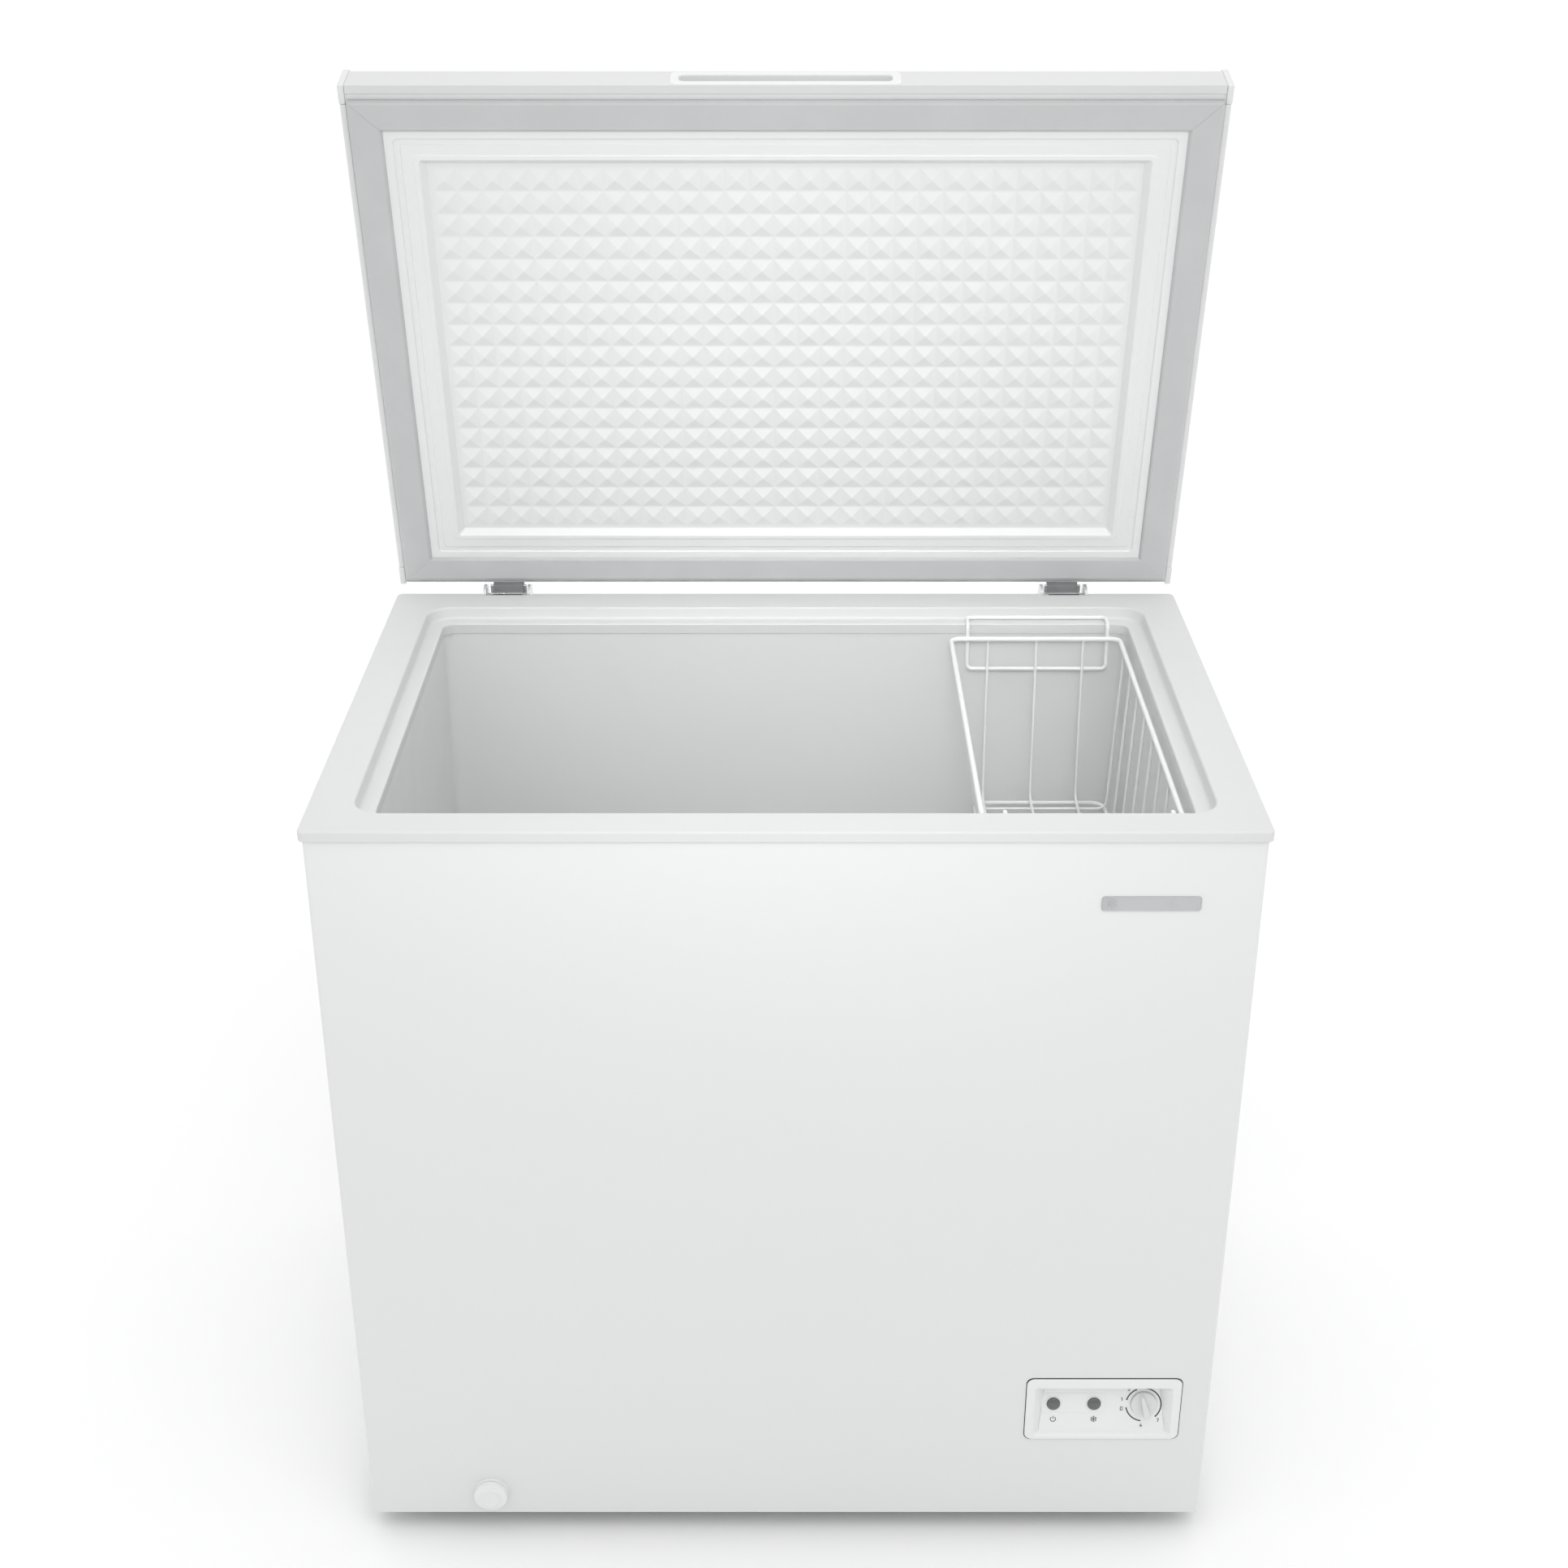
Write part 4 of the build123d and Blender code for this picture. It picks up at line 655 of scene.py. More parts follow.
def build_seam():
    """The thin grey line down the strip over the liner's lap seam: painted shadow of the lap joint."""
    low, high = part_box("liner_seam_strip")
    x = (low.x + high.x) / 2 - SEAM_SHIFT * MM
    bm = bmesh.new()
    box_shape(bm, (x - SEAM_HALF * MM, low.y - SEAM_PROUD * MM, low.z),
              (x + SEAM_HALF * MM, low.y + SEAM_SUNK * MM, high.z), 0)
    piece("liner_seam_painted_shadow", bm, "grey_gasket", "cabinet", finish=SEAM_SHADE_FINISH)


build_liner()
build_seam()

# ---- lid underside

PLATEAU = (371.6, 32.7, 498.5)
INSET_X = 1.11
PLATE_X = 400.75
PLATE_REAR = 1.0
PLATE_FRONT = 530.5
PLATE_T = 1.0
PLATE_BACK = 3.5
PLATEAU_H = 4.6
RIDGE_H = 5.5
RIDGE = (23.5, 24.8, 28.5, 34.0)
HOLLOW = (2.5, 24.5, -1.5)
GROOVE = (8.0, 14.5)
GROOVE_DEPTH = 1.5
FIELD_T = 1.0
CORNER_RADII = ((0.0, 1.2), (7.0, 5.0), (8.5, 4.5), (13.5, 3.0), *zip(RIDGE, (5.5, 5.0, 3.0, 0.4)))
PYRAMID_COLUMNS = 29
PYRAMID_ROWS = 17
PYRAMID_PITCH = (22.8, 22.95)
PYRAMID_BASE = 21.5
PYRAMID_H = 3.0
PYRAMID_EDGE = 0.7
PYRAMID_FIRST_S = 70.6
FIELD_MARGIN = 1.0


def corner_radius(inset):
    """The plateau's corner radius at an inset, between the pairs of inset and radius in CORNER_RADII."""
    for (i0, r0), (i1, r1) in zip(CORNER_RADII, CORNER_RADII[1:]):
        if inset <= i1:
            return r0 + (r1 - r0) * max(0.0, inset - i0) / (i1 - i0)
    return CORNER_RADII[-1][1]


def plateau_ring(inset, t):
    half, rear, front = PLATEAU
    x = half - inset * INSET_X
    ring = rounded(-x, x, rear + inset, front - inset, corner_radius(inset))
    return [lid_place(x, s, t) for x, s in ring]


def plate_ring(t):
    return [lid_place(x, s, t) for x, s in rounded(-PLATE_X, PLATE_X, PLATE_REAR, PLATE_FRONT, 1.0)]


def pyramid_field(bm):
    """The embossed field of low pyramids; returns the edges round its flat margin."""
    pitch_x, pitch_s = PYRAMID_PITCH
    width = (PYRAMID_COLUMNS - 1) * pitch_x + PYRAMID_BASE

    def lines(start, pitch, count):
        """The edges of every pyramid in a row, and the margin beyond the first and the last."""
        inner = [start + i * pitch + side * PYRAMID_BASE for i in range(count) for side in (0, 1)]
        return [start - FIELD_MARGIN] + inner + [inner[-1] + FIELD_MARGIN]

    xs = lines(-width / 2, pitch_x, PYRAMID_COLUMNS)
    ss = lines(PYRAMID_FIRST_S, pitch_s, PYRAMID_ROWS)
    grid = [[bm.verts.new(lid_place(x, s, FIELD_T)) for s in ss] for x in xs]
    slopes = []
    for i in range(len(xs) - 1):
        for j in range(len(ss) - 1):
            corners = [grid[i][j], grid[i + 1][j], grid[i + 1][j + 1], grid[i][j + 1]]
            if i % 2 == 1 and j % 2 == 1:
                peak = lid_place((xs[i] + xs[i + 1]) / 2, (ss[j] + ss[j + 1]) / 2, FIELD_T - PYRAMID_H)
                tip = bm.verts.new(peak)
                slopes += [bm.faces.new((a, b, tip)) for a, b in zip(corners, corners[1:] + corners[:1])]
            else:
                bm.faces.new(corners)
    bmesh.ops.recalc_face_normals(bm, faces=bm.faces[:])
    sharp = {e for f in slopes for e in f.edges}
    bevel(bm, list(sharp), PYRAMID_EDGE, 2)
    return [e for e in bm.edges if e.is_boundary]


def build_lid_liner():
    """The hollow plateau under the lid: its groove, its ridge and the embossed field inside them."""
    bm = bmesh.new()
    border = pyramid_field(bm)
    groove_in, groove_out = GROOVE
    floor = GROOVE_DEPTH - PLATEAU_H
    ridge_foot, ridge_out, ridge_in, field_edge = RIDGE
    profile = softened(
        [(-3, PLATE_T), (0, PLATE_T), (0.7, -PLATEAU_H), (groove_in, -PLATEAU_H), (groove_in + 0.9, floor),
         (groove_out - 0.9, floor), (groove_out, -PLATEAU_H), (ridge_foot, -PLATEAU_H), (ridge_out, -RIDGE_H),
         (ridge_in, -RIDGE_H), (field_edge, FIELD_T)],
        [0.6, 0.5, 0.5, 0.5, 0.5, 0.5, 0.4, 0.5, 1.2])
    outer, inner, roof_t = HOLLOW
    hollow = [(inner, PLATE_BACK), (inner, roof_t), (outer, roof_t), (outer, PLATE_BACK)]
    rings = [plateau_ring(inset, t) for inset, t in hollow] + [plate_ring(PLATE_BACK), plate_ring(PLATE_T)]
    rings += [plateau_ring(inset, t) for inset, t in profile]
    last = loft(bm, rings, end_cap=False)[-1]
    bmesh.ops.remove_doubles(bm, verts=last, dist=0.01 * MM)
    last = [v for v in last if v.is_valid]
    inner_edges = [e for e in {e for v in last for e in v.link_edges} if e.is_boundary]
    bmesh.ops.triangle_fill(bm, use_beauty=True, use_dissolve=False, edges=border + inner_edges)
    piece("lid_liner_waffle", bm, "white_lid_liner", "lid", ["lid_inner_liner"], turn=LID_TURN, sharp=40)


build_lid_liner()

# ---- lid gasket

GASKET_INNER = (370.4, 33.9, 497.3)
GASKET_OUTER = (400.5, 7.0, 526.0)
GASKET_H = 7.7
WELD_HALF = 0.7
WELD_DIP = 0.45


def build_gasket():
    """A hollow-bellows strip, mitred and welded at its four corners."""
    bm = bmesh.new()
    profile = softened(
        [(0.02, 0.8), (0.0, -4.8), (0.05, -5.8), (0.04, -6.6), (0.10, -7.5), (0.50, -GASKET_H), (0.90, -7.5),
         (0.985, -6.6), (0.985, -5.2), (0.95, -4.6), (0.985, -4.0), (1.0, -2.4), (0.97, 0.8)],
        [0.03, 0.03, 0.05, 0.05, 0.2, 0.04, 0.04, 0.02, 0.02, 0.03, 0.03], seg=3)

    def corner(index, share):
        """One corner of the loop, at a share of the way from the strip's inner to its outer edge."""
        half, rear, front = (a + (b - a) * share for a, b in zip(GASKET_INNER, GASKET_OUTER))
        return ((-half, rear), (half, rear), (half, front), (-half, front))[index]

    heading = ((1, 0), (0, 1), (-1, 0), (0, -1))
    rings = []
    for index in range(4):
        for shift, (hx, hs), dip in ((-WELD_HALF, heading[index - 1], 0), (0, (0, 0), WELD_DIP),
                                     (WELD_HALF, heading[index], 0)):
            ring = []
            for share, t in profile:
                x, s = corner(index, share)
                ring.append(lid_place(x + hx * shift, s + hs * shift, t + dip))
            rings.append(ring)
    loft(bm, rings, closed=True)
    piece("gasket_strip", bm, "grey_gasket", "lid", ["lid_gasket"], turn=LID_TURN, sharp=50)


build_gasket()

# ---- lid trims and corner caps

LID_X = 408.25
SKIN_X = 401.75
TRIM_H = 44.0
TRIM_R = 1.3
CAP_L = 18.0
CAP_R = 1.2
CAP_TOP_R = 7.0
CAP_OVERHANG = 3.0
SEAM = 0.1
CAP_GAP = 0.3


def build_trims():
    """A strip along each side of the lid, and a cap over each of its corners."""
    for name, side in (("left", -1), ("right", 1)):
        bm = bmesh.new()
        box_shape(bm, lid_place(side * SKIN_X, CAP_L + SEAM, 0.1),
                  lid_place(side * (LID_X - 0.6), LID_D - CAP_L - SEAM, TRIM_H - 0.5), TRIM_R)
        piece(f"lid_{name}_edge_trim", bm, "white_trim_plastic", "lid", [f"lid_{name}_trim"], turn=LID_TURN)
    bm = bmesh.new()
    for side in (-1, 1):
        for s0, s1, end in ((-CAP_OVERHANG, CAP_L, -CAP_OVERHANG), (LID_D - CAP_L, LID_D, LID_D)):
            low = lid_place(side * (SKIN_X + CAP_GAP), s0, 0)
            high = lid_place(side * LID_X, s1, TRIM_H)
            end_y = lid_place(0, end, 0).y
            middle_z = (low.z + high.z) / 2

            def outer_top(p):
                """Whether a point lies on the cap's upper edge at the lid's end."""
                return abs(p.y - end_y) < 0.1 * MM and p.z > middle_z + 10 * MM

            box_shape(bm, low, high, CAP_R, first=outer_top, first_r=CAP_TOP_R)
    piece("lid_corner_mouldings", bm, "white_trim_plastic", "lid", ["lid_corner_caps"], turn=LID_TURN)


build_trims()

# ---- lid handle

HANDLE_X = 106.0
HANDLE_T = (1.5, 31.5)
SLOT_X = 97.5
SLOT_T = (9.5, 25.0)
SLOT_DEPTH = 24.0
HANDLE_PROUD = 0.8


def build_handle():
    """The moulded pocket in the lid's front face, with a thin flange round it."""
    bm = bmesh.new()

    def slot_ring(outward, back, r):
        ring = rounded(-SLOT_X - outward, SLOT_X + outward, SLOT_T[0] - outward, SLOT_T[1] + outward, r)
        return [lid_place(x, LID_D - back, t) for x, t in ring]

    def flange_ring(inward, back, r):
        ring = rounded(-HANDLE_X + inward, HANDLE_X - inward, HANDLE_T[0] + inward, HANDLE_T[1] - inward, r)
        return [lid_place(x, LID_D - back, t) for x, t in ring]

    shell = [slot_ring(-0.5, SLOT_DEPTH + 1.5, 4.5), slot_ring(1.3, SLOT_DEPTH - 1, 6.3),
             slot_ring(1.5, 0.6, 6.5)]
    flange = [flange_ring(0, 0.6, 6.0), flange_ring(0, -0.1, 6.0), flange_ring(0.2, -0.5, 5.8),
              flange_ring(0.8, -HANDLE_PROUD, 5.4)]
    entry = softened([(6, -HANDLE_PROUD), (0, -HANDLE_PROUD), (-0.8, SLOT_DEPTH), (-7.0, SLOT_DEPTH)],
                     [1.8, 3.0], seg=5)
    pocket = [slot_ring(outward, back, max(5.0 + outward, 0.6)) for outward, back in entry[1:]]
    loft(bm, shell + flange + pocket)
    piece("lid_handle_pocket", bm, "grey_handle_plastic", "lid", ["handle_insert"], turn=LID_TURN, sharp=45)


build_handle()

# ---- control panel

CONTROL = (303.5, 153.0, 149.0, 75.0)
CONTROL_R = 7.0
FRAME_SIDE = 8.5
FRAME_LOW = 4.5
FRAME_HIGH = 11.9
FRAME_FRONT = WRAP_FRONT - 1.5
FRAME_BACK = WRAP_FRONT - 0.6
PANEL_RECESS = 9.0
PANEL_TILT = 15.0
PANEL_FLOOR = FRAME_FRONT + PANEL_RECESS
FLOOR_EDGES = (122.3, 170.0)
FLOOR_KINK = 129.3
BEVEL_DEPTH = 2.6
FLOOR_INSETS = (5.2, 10.0)
LAMP_XS = (257.0, 296.0)
LAMP_R = 6.5
DIAL_X = 343.5
PAD_X = 11.5
PAD_Z = 10.5
PAD_R = 3.5
RECESS_R = 3.0
ARC_STEPS = 24
floor_pivot = Matrix.Translation(place(0, PANEL_FLOOR, CONTROL[1]))
PANEL_TURN = floor_pivot @ Matrix.Rotation(-radians(PANEL_TILT), 4, "X") @ floor_pivot.inverted()


def frame_ring(side, low, high, depth, r):
    """A loop round the control panel, moved in from its outer edges, at a depth."""
    x, z, w, h = CONTROL
    ring = rounded(x - w / 2 + side, x + w / 2 - side, z - h / 2 + low, z + h / 2 - high, max(r, 0.4))
    return [place(px, depth, pz) for px, pz in ring]


def recess_ring(share, inward=0.0, back=0.0, floor_low=FLOOR_EDGES[0]):
    """A loop round the recess, at a share of the way from its mouth to its floor, which leans back."""
    x, z, w, h = CONTROL
    half = w / 2 - FRAME_SIDE
    low, high = z - h / 2 + FRAME_LOW, z + h / 2 - FRAME_HIGH
    corner_r = max(RECESS_R - inward, 0.6)
    ring = []
    for px, pz in rounded(inward - half, half - inward, low + inward, high - inward, corner_r):
        rise = (pz - low) / (high - low)
        floor_z = floor_low + rise * (FLOOR_EDGES[1] - floor_low)
        floor_x = px * (1 - (FLOOR_INSETS[0] + rise * (FLOOR_INSETS[1] - FLOOR_INSETS[0])) / half)
        floor_depth = max(PANEL_FLOOR + (floor_z - z) * tan(radians(PANEL_TILT)), FRAME_FRONT + BEVEL_DEPTH)
        depth = FRAME_FRONT + share * (floor_depth - FRAME_FRONT) + back
        ring.append(place(x + px + share * (floor_x - px), depth, pz + share * (floor_z - pz)))
    return ring


def ribbon(bm, points, width, back, thick):
    """A flat line of print, this thick in front of a depth; points are (x, z)."""
    points = [Vector(p) for p in points]
    rings = []
    for i, p in enumerate(points):
        ahead = points[min(i + 1, len(points) - 1)]
        behind = points[max(i - 1, 0)]
        along = (ahead - behind).normalized()
        side = Vector((-along.y, along.x)) * (width / 2)
        left, right = p + side, p - side
        front = back - thick
        section = ((left, back), (right, back), (right, front), (left, front))
        rings.append([place(corner.x, depth, corner.y) for corner, depth in section])
    loft(bm, rings)


def arc_points(cx, cz, r, start, end):
    """Points on an arc; angles in degrees clockwise from the top."""
    angles = [radians(start + (end - start) * i / ARC_STEPS) for i in range(ARC_STEPS + 1)]
    return [(cx + r * sin(a), cz + r * cos(a)) for a in angles]


def snowflake(bm, cx, cz, arm, roots, barb, spread, arm_print, barb_print):
    """Six arms with two barbs at each root along them; a print is its width, depth and thickness."""
    width, back, thick = arm_print
    for spoke in range(6):
        a = radians(60 * spoke)
        tip = (cx + arm * sin(a), cz + arm * cos(a))
        ribbon(bm, [(cx, cz), tip], width, back - 0.01 * spoke, thick)
        for reach in roots:
            root = (cx + reach * sin(a), cz + reach * cos(a))
            for bend in (-1, 1):
                fork = a + bend * radians(spread)
                ribbon(bm, [root, (root[0] + barb * sin(fork), root[1] + barb * cos(fork))], *barb_print)


def build_floor_rims(bm):
    """Low rims on the panel's leaning floor, round each lamp, round the dial and round both lamps."""
    z = CONTROL[1]
    for lamp_x in LAMP_XS:
        lathe(bm, [(LAMP_R - 0.1, -0.4), (LAMP_R, 0.75), (LAMP_R + 0.3, 1.0), (LAMP_R + 1.1, 0.95),
                   (LAMP_R + 1.4, 0.6), (LAMP_R + 1.5, -0.4)], place(lamp_x, PANEL_FLOOR, z))
    lathe(bm, [(13.8, -0.4), (13.8, 0.25), (13.5, 0.45), (12.9, 0.5), (12.5, 0.3), (12.4, -0.4)],
          place(DIAL_X, PANEL_FLOOR, z))
    left, right = LAMP_XS
    pad = []
    for inward, proud in ((0, -0.2), (0, 0.2), (0.25, 0.3), (0.9, 0.3), (1.15, 0.15), (1.2, -0.2)):
        ring = rounded(left - PAD_X + inward, right + PAD_X - inward, z - PAD_Z + inward, z + PAD_Z - inward,
                       PAD_R - inward)
        pad.append([place(px, PANEL_FLOOR - proud, pz) for px, pz in ring])
    loft(bm, pad, closed=True)
    bmesh.ops.transform(bm, matrix=PANEL_TURN, verts=bm.verts)


def build_control_panel():
    """The panel's frame, recess and floor, and a black ring round it that paints the frame's shadow gap."""
    bm = bmesh.new()
    build_floor_rims(bm)
    frame_section = ((FRAME_SIDE - 1.5, FRAME_LOW - 1.5, FRAME_HIGH - 1.5, WRAP_FRONT, 4),
                     (2.2, 2.2, 2.2, WRAP_FRONT, 5), (1.6, 1.6, 1.6, FRAME_BACK, 6),
                     (0.8, 0.8, 0.8, FRAME_BACK, CONTROL_R), (0.7, 0.7, 0.8, FRAME_BACK - 0.1, CONTROL_R),
                     (1.0, 0.9, 1.6, FRAME_FRONT + 0.35, CONTROL_R), (1.7, 1.3, 3.6, FRAME_FRONT, 6))
    recess_section = ((0, -1.0), (0.02, -0.3), (0.08, 0), (0.97, 0), (1.0, 0.2))
    rings = [recess_ring(1.0, back=2.0)] + [frame_ring(*row) for row in frame_section]
    rings += [recess_ring(*row) for row in recess_section] + [recess_ring(1.0, 0.9, floor_low=FLOOR_KINK)]
    loft(bm, rings)
    piece("control_panel_frame", bm, "white_panel_plastic", "cabinet", ["control_bezel"], sharp=40)
    # Painted shadow: a black ring where the frame meets the wrapper stands in for the shade in the gap.
    bm = bmesh.new()
    strip = [(1.6, WRAP_FRONT), (0, WRAP_FRONT), (0, WRAP_FRONT - 0.3), (1.6, WRAP_FRONT - 0.3)]
    loft(bm, [frame_ring(inward, inward, inward, depth, CONTROL_R) for inward, depth in strip], closed=True)
    piece("control_panel_painted_shadow_ring", bm, "black_rubber", "cabinet")


build_control_panel()


def build_lamps():
    """Two domed lenses, each on a stem behind the panel's floor."""
    profile = [(4.8, -3.8), (4.8, 0.2), (LAMP_R - 0.1, 0.2), (LAMP_R - 0.15, 0.9), (LAMP_R - 0.7, 1.75),
               (LAMP_R - 1.8, 2.4), (LAMP_R - 3.6, 2.8), (0, 2.95)]
    for name, x in zip(("power_lamp", "running_lamp"), LAMP_XS):
        bm = bmesh.new()
        lathe(bm, profile, place(x, PANEL_FLOOR, CONTROL[1]))
        piece(name, bm, "smoked_lens", "cabinet", [name + "_lens"], turn=PANEL_TURN)


build_lamps()

PRINT_T = 0.12
PRINT_W = 1.2
ARC_R = 16.9
ARC_DROP = 1.2
ARCS = ((-172, -100), (-74, -23), (-6, 138))
NUMERAL_R = 21.5
NUMERAL_SIZE = 1.7
NUMERAL_W = 0.65
NUMERALS = ((-101, (((-0.6, -1), (0.6, -1), (0.6, 1), (-0.6, 1), (-0.6, -1)),)),
            (-75, (((-0.4, 0.6), (0.1, 1), (0.1, -1)),)),
            (-42, (((-0.6, 0.9), (0.6, 0.9), (-0.1, 0.1), (0.6, -0.5), (0.1, -1), (-0.6, -0.8)),)),
            (139, (((-0.6, 1), (0.6, 1), (-0.1, -1)),)),
            (-175, (((0.1, -1), (0.1, 1), (-0.7, -0.4), (0.7, -0.4)),)))
SYMBOL_DROP = 16.2
SYMBOL_SIZE = 1.25


def build_marks():
    """Printed lines on the panel's floor: arcs and numbers round the dial, and a symbol under each lamp."""
    bm = bmesh.new()
    z = CONTROL[1]
    back = PANEL_FLOOR - 0.02
    for start, end in ARCS:
        ribbon(bm, arc_points(DIAL_X, z - ARC_DROP, ARC_R, start, end), PRINT_W, back, PRINT_T)
    for angle, strokes in NUMERALS:
        a = radians(angle)
        foot = Vector((DIAL_X + NUMERAL_R * sin(a), z - ARC_DROP + NUMERAL_R * cos(a)))
        for stroke in strokes:
            ribbon(bm, [foot + Vector(p) * NUMERAL_SIZE for p in stroke], NUMERAL_W, back - 0.02, PRINT_T)
    symbol_z = z - SYMBOL_DROP
    power_x, running_x = LAMP_XS
    arm = 2.5 * SYMBOL_SIZE
    bar = [(power_x, symbol_z + 0.4 * SYMBOL_SIZE), (power_x, symbol_z + arm)]
    ribbon(bm, arc_points(power_x, symbol_z, 2.0 * SYMBOL_SIZE, 38, 322), NUMERAL_W, back, PRINT_T)
    ribbon(bm, bar, NUMERAL_W, back, PRINT_T)
    snowflake(bm, running_x, symbol_z, arm, [1.5 * SYMBOL_SIZE], SYMBOL_SIZE, 50, (0.5, back, PRINT_T),
              (0.4, back - 0.07, PRINT_T))
    piece("panel_marks", bm, "black_plastic", "cabinet", turn=PANEL_TURN, finish=PRINT)


build_marks()

KNOB_LEAN = radians(15.0)
KNOB_GAP = 1.2
GRIP_STEPS = 12


def build_knob():
    """Round skirt with a tapered grip across it; the narrow end points at the setting."""
    bm = bmesh.new()
    centre = place(DIAL_X, PANEL_FLOOR - KNOB_GAP, CONTROL[1])
    lathe(bm, [(3.0, 0), (12.3, 0), (12.5, 0.5), (12.4, 2.2), (11.9, 2.9), (10.9, 3.25), (6.0, 3.45),
               (0, 3.5)], centre, sides=64)
    grip = ((2.8, 3.7, 1.8, 12.0), (9.6, 3.4, 1.5, 11.7), (10.6, 3.0, 1.2, 11.3), (11.0, 2.3, 0.8, 10.6))
    placed = []
    for height, wide, narrow, reach in grip:
        ring = []
        for cz, r, start in ((wide - reach, wide, 180), (reach - narrow, narrow, 0)):
            for i in range(GRIP_STEPS + 1):
                a = radians(start + 180 * i / GRIP_STEPS)
                x, z = r * cos(a), cz + r * sin(a)
                turned_x = x * cos(KNOB_LEAN) - z * sin(KNOB_LEAN)
                turned_z = x * sin(KNOB_LEAN) + z * cos(KNOB_LEAN)
                ring.append(centre + Vector((turned_x, -height, turned_z)) * MM)
        placed.append(ring)
    loft(bm, placed)
    piece("thermostat_dial", bm, "knob_plastic", "thermostat", ["thermostat_knob"], turn=PANEL_TURN, sharp=40)


build_knob()

# ---- nameplate

PLATE_PROUD = 1.2
FLAKE_IN = 9.0
FLAKE_ARM = 4.4
FLAKE_BARB = 1.2


def build_nameplate():
    """A plain satin plate with a raised border and a snowflake."""
    bm = bmesh.new()
    low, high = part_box("nameplate")
    x0, x1 = low.x / MM, high.x / MM
    z0, z1 = low.z / MM, high.z / MM
    front = WRAP_FRONT - PLATE_PROUD

    def ring(inward, depth):
        outline = rounded(x0 + inward, x1 - inward, z0 + inward, z1 - inward, max(3.0 - inward, 0.4))
        return [place(x, depth, z) for x, z in outline]

    loft(bm, [ring(0, WRAP_FRONT + 0.2), ring(0, front + 0.4), ring(0.15, front + 0.12), ring(0.45, front),
              ring(1.0, front), ring(1.25, front + 0.3), ring(1.5, front + 0.35)])
    snowflake(bm, x0 + FLAKE_IN, (z0 + z1) / 2, FLAKE_ARM, [2.2, 3.3], FLAKE_BARB, 55,
              (0.7, front + 0.38, 0.3), (0.5, front + 0.3, 0.2))
    piece("front_nameplate", bm, "nameplate_plastic", "cabinet", ["nameplate"])


build_nameplate()

# ---- drain cap

DRAIN = (-287.5, 48.0)


def build_drain():
    """The outlet's flange, and the cap with its long plug and stepped face."""
    bm = bmesh.new()
    centre = place(DRAIN[0], WRAP_FRONT, DRAIN[1])
    lathe(bm, [(8.0, -1.0), (8.0, 2.3), (8.2, 2.5), (16.2, 2.5), (16.8, 2.2), (17.0, 1.6), (17.0, -0.2),
               (12, -0.4)], centre, sides=64)
    piece("drain_flange", bm, "white_panel_plastic", "cabinet", ["drain_sleeve"])
    bm = bmesh.new()
    lathe(bm, [(5.7, -17.2), (7.4, -17.2), (7.7, -16.6), (7.7, 2.8), (16.0, 2.8), (16.4, 3.2), (16.4, 6.9),
               (15.9, 7.8), (14.9, 8.2), (11.0, 8.25), (10.3, 8.4), (10.0, 8.85), (9.6, 9.0), (8.9, 9.0),
               (8.5, 8.8), (8.3, 8.3), (7.8, 8.15), (0, 8.1)], centre, sides=64)
    piece("drain_screw_cap", bm, "white_panel_plastic", "drain_cap", ["drain_cap"])


build_drain()

# ---- basket

BASKET = (170.5, 344.5, 65.0, 480.0)
BASKET_DROP = 24.0
BASKET_FLOOR_DROP = 205.0
BASKET_FLOOR = (200.0, 337.0, 80.0, 465.0)
FRAME_R = 2.5
FRAME_BEND = 9.0
FLOOR_R = 2.0
FLOOR_BEND = 15.0
THIN_R = 1.4
THIN_BEND = 10.0
WELD = 0.4
CROSS = (100.0, 445.0, 8)
LENGTH_XS = (209.0, 259.0, 307.0)
HANGER = (188.0, 332.0, 57.0)
HANGER_R = 2.0
HANGER_BEND = 5.0
HANGER_LEG = 4.0
HANGER_REACH = 4.0
HANGER_GAP = 0.3
TOP_BEAD = 2.2
LOW_BEAD = 1.9
CROSS_BEAD = 1.7
HANGER_BEAD = 2.1


def loop_points(x0, x1, d0, d1, z):
    return [(x0, d0, z), (x1, d0, z), (x1, d1, z), (x0, d1, z)]


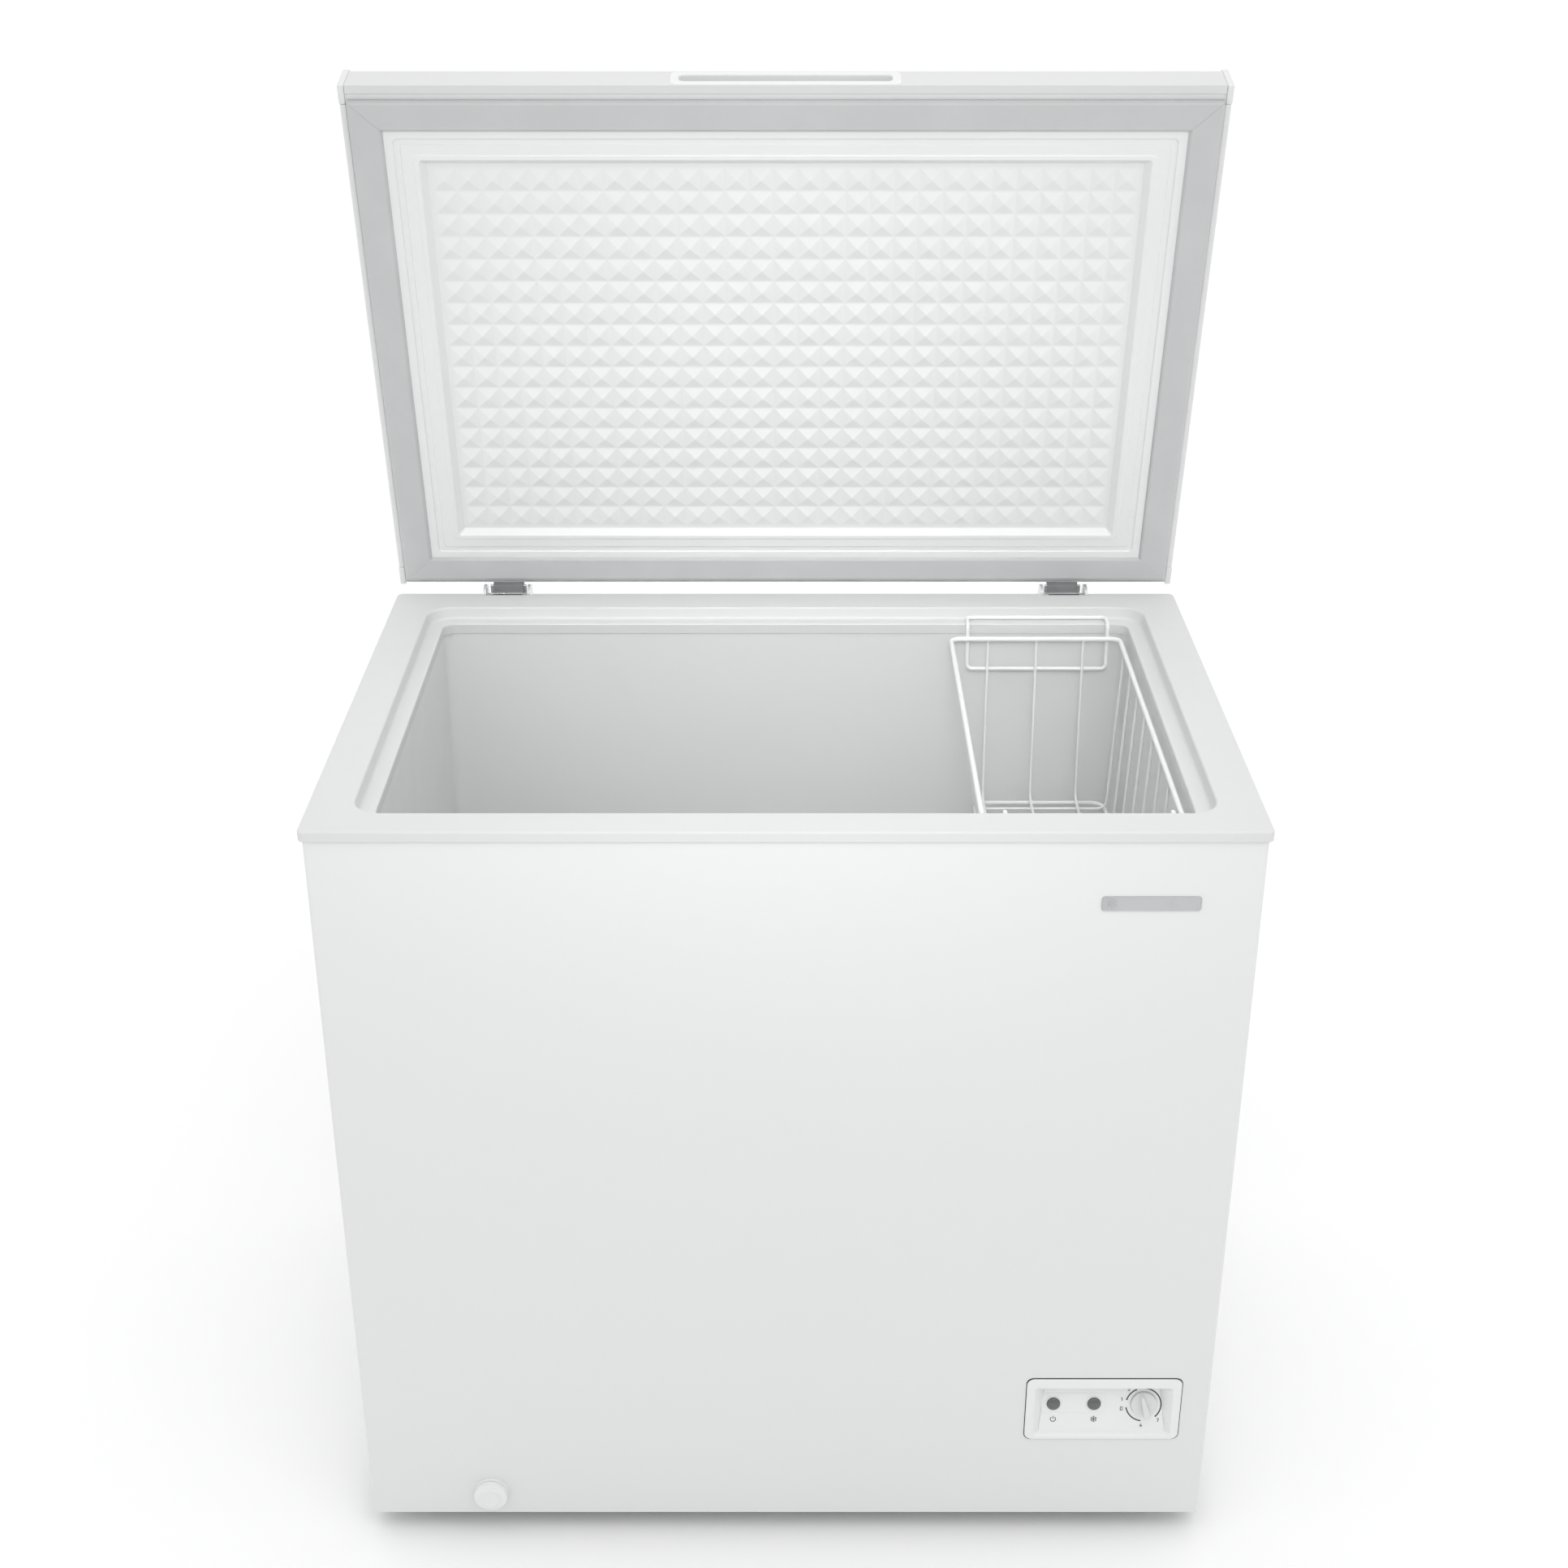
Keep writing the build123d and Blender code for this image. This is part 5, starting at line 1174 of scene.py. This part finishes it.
def build_basket():
    """The wire basket: two frames, the wires between them with their weld beads, and two hangers."""
    top_z = RIM_Z - BASKET_DROP
    floor_z = RIM_Z - BASKET_FLOOR_DROP
    cross_z = floor_z + FLOOR_R + THIN_R - WELD
    length_z = cross_z + 2 * THIN_R - WELD
    left, right, front, rear = BASKET
    floor_left, floor_right, floor_front, floor_rear = BASKET_FLOOR
    first, last, count = CROSS
    cross_depths = [first + i * (last - first) / (count - 1) for i in range(count)]

    top = bmesh.new()
    wire(top, loop_points(left, right, front, rear, top_z), FRAME_R, FRAME_BEND, closed=True, sides=16,
         seg=10)
    floor = bmesh.new()
    wire(floor, loop_points(floor_left, floor_right, floor_front, floor_rear, floor_z), FLOOR_R, FLOOR_BEND,
         closed=True, sides=14, seg=10)
    cross = bmesh.new()
    for d in cross_depths:
        points = [(left, d, top_z), (floor_left, d, cross_z), (floor_right, d, cross_z), (right, d, top_z)]
        wire(cross, points, THIN_R, THIN_BEND)
        for x in (left, right):
            bead(cross, place(x, d, top_z - 2), TOP_BEAD, (1, 0.9, 1.3))
        for x in (floor_left, floor_right):
            bead(cross, place(x, d, floor_z + 1.5), LOW_BEAD)
    length = bmesh.new()
    for x in LENGTH_XS:
        points = [(x, front, top_z), (x, floor_front, length_z), (x, floor_rear, length_z), (x, rear, top_z)]
        wire(length, points, THIN_R, THIN_BEND)
        for d in (front, rear):
            bead(length, place(x, d, top_z - 2), TOP_BEAD, (0.9, 1, 1.3))
        for d in cross_depths:
            bead(length, place(x, d, cross_z + 1.3), CROSS_BEAD)
    hangers = bmesh.new()
    hanger_left, hanger_right, drop = HANGER
    hanger_z = RIM_Z - RECESS_DROP + HANGER_R + HANGER_GAP
    fall = (drop - BASKET_DROP) / (BASKET_FLOOR_DROP - BASKET_DROP)
    for frame_d, back, floor_d in ((rear, 1, floor_rear), (front, -1, floor_front)):
        wall_d = frame_d + fall * (floor_d - frame_d) + back * (THIN_R + HANGER_R - WELD)
        leg_d = frame_d + back * HANGER_LEG
        ledge_d = RECESS[2] - HANGER_REACH if back > 0 else RECESS[1] + HANGER_REACH
        leg = [(wall_d, RIM_Z - drop), (leg_d, top_z), (leg_d, hanger_z), (ledge_d, hanger_z)]
        points = [(hanger_left, d, z) for d, z in leg] + [(hanger_right, d, z) for d, z in reversed(leg)]
        wire(hangers, points, HANGER_R, HANGER_BEND, closed=True, sides=14)
        for x in (hanger_left, hanger_right):
            bead(hangers, place(x, leg_d - back * 1.8, top_z), HANGER_BEAD)
        for x in LENGTH_XS:
            bead(hangers, place(x, wall_d - back * 1.4, RIM_Z - drop), LOW_BEAD)
    finished = (("rim_wire", top, "top_frame"), ("base_wire", floor, "floor_frame"),
                ("side_wires", cross, "cross_wires"), ("long_wires", length, "lengthwise_wires"),
                ("hanger_wires", hangers, "hangers"))
    for name, bm, node in finished:
        piece("basket_" + name, bm, "white_coated_wire", "basket", ["basket_" + node], sharp=60)


build_basket()

# ---- hinge details

ARM_HALF = 16.0
FLANGE_W = 3.0
FLANGE_S = (-9.5, 0.0)
FLANGE_T = (-6.9, -4.4)
BRIDGE = (545.8, 549.0)
BRIDGE_UNDER = 0.6
BRIDGE_OVER = 0.4
HINGE_SHADOW_T = 0.4
HINGE_SHADOW_H = 4.0


def build_hinge_details():
    """Bright strips on both sides of each arm's neck; on its bracket, a painted-shadow black strip and a bright
    fold.
    """
    for name in ("left", "right"):
        low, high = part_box(name + "_hinge_arm")
        middle = (low.x + high.x) / 2 / MM
        bm = bmesh.new()
        for side in (-1, 1):
            box_shape(bm, lid_place(middle + side * ARM_HALF, FLANGE_S[0], FLANGE_T[0]),
                      lid_place(middle + side * (ARM_HALF + FLANGE_W), FLANGE_S[1], FLANGE_T[1]), 0.5)
        piece(name + "_hinge_flanges", bm, "light_hinge_steel", "lid", turn=LID_TURN)
        # Painted shadow: a thin black strip on the bracket's front face, where the gap under the rim's notch lies
        # in shade.
        bm = bmesh.new()
        box_shape(bm, place(middle - ARM_HALF, BRIDGE[0] - HINGE_SHADOW_T, RIM_Z - HINGE_SHADOW_H),
                  place(middle + ARM_HALF, BRIDGE[0], RIM_Z), 0)
        piece(name + "_hinge_painted_shadow", bm, "black_rubber", "cabinet")
        bm = bmesh.new()
        box_shape(bm, place(middle - ARM_HALF, BRIDGE[0], RIM_Z - BRIDGE_UNDER),
                  place(middle + ARM_HALF, BRIDGE[1], RIM_Z + BRIDGE_OVER), 0.25)
        piece(name + "_hinge_bridge_fold", bm, "light_hinge_steel", "cabinet")


build_hinge_details()

# ---- kept pieces

slot_of = {part["node"]: part["material_slot"] for part in frame["record"]["subparts"]}
for node, made in frame["nodes"].items():
    made.data.materials.clear()
    made.data.materials.append(FINISHES[slot_of[node]].material)

# ---- floor

FLOOR_REACH = 60.0

floor_mesh = bpy.data.meshes.new("studio_floor")
floor_corners = [(x * FLOOR_REACH, y * FLOOR_REACH, 0) for x, y in ((-1, -1), (1, -1), (1, 1), (-1, 1))]
floor_mesh.from_pydata(floor_corners, [], [(0, 1, 2, 3)])
studio_floor = add_object("studio_floor", floor_mesh)
floor_mesh.materials.append(Finish("studio_floor", (0.97, 0.97, 0.97), 0.9, specular=0.0).material)
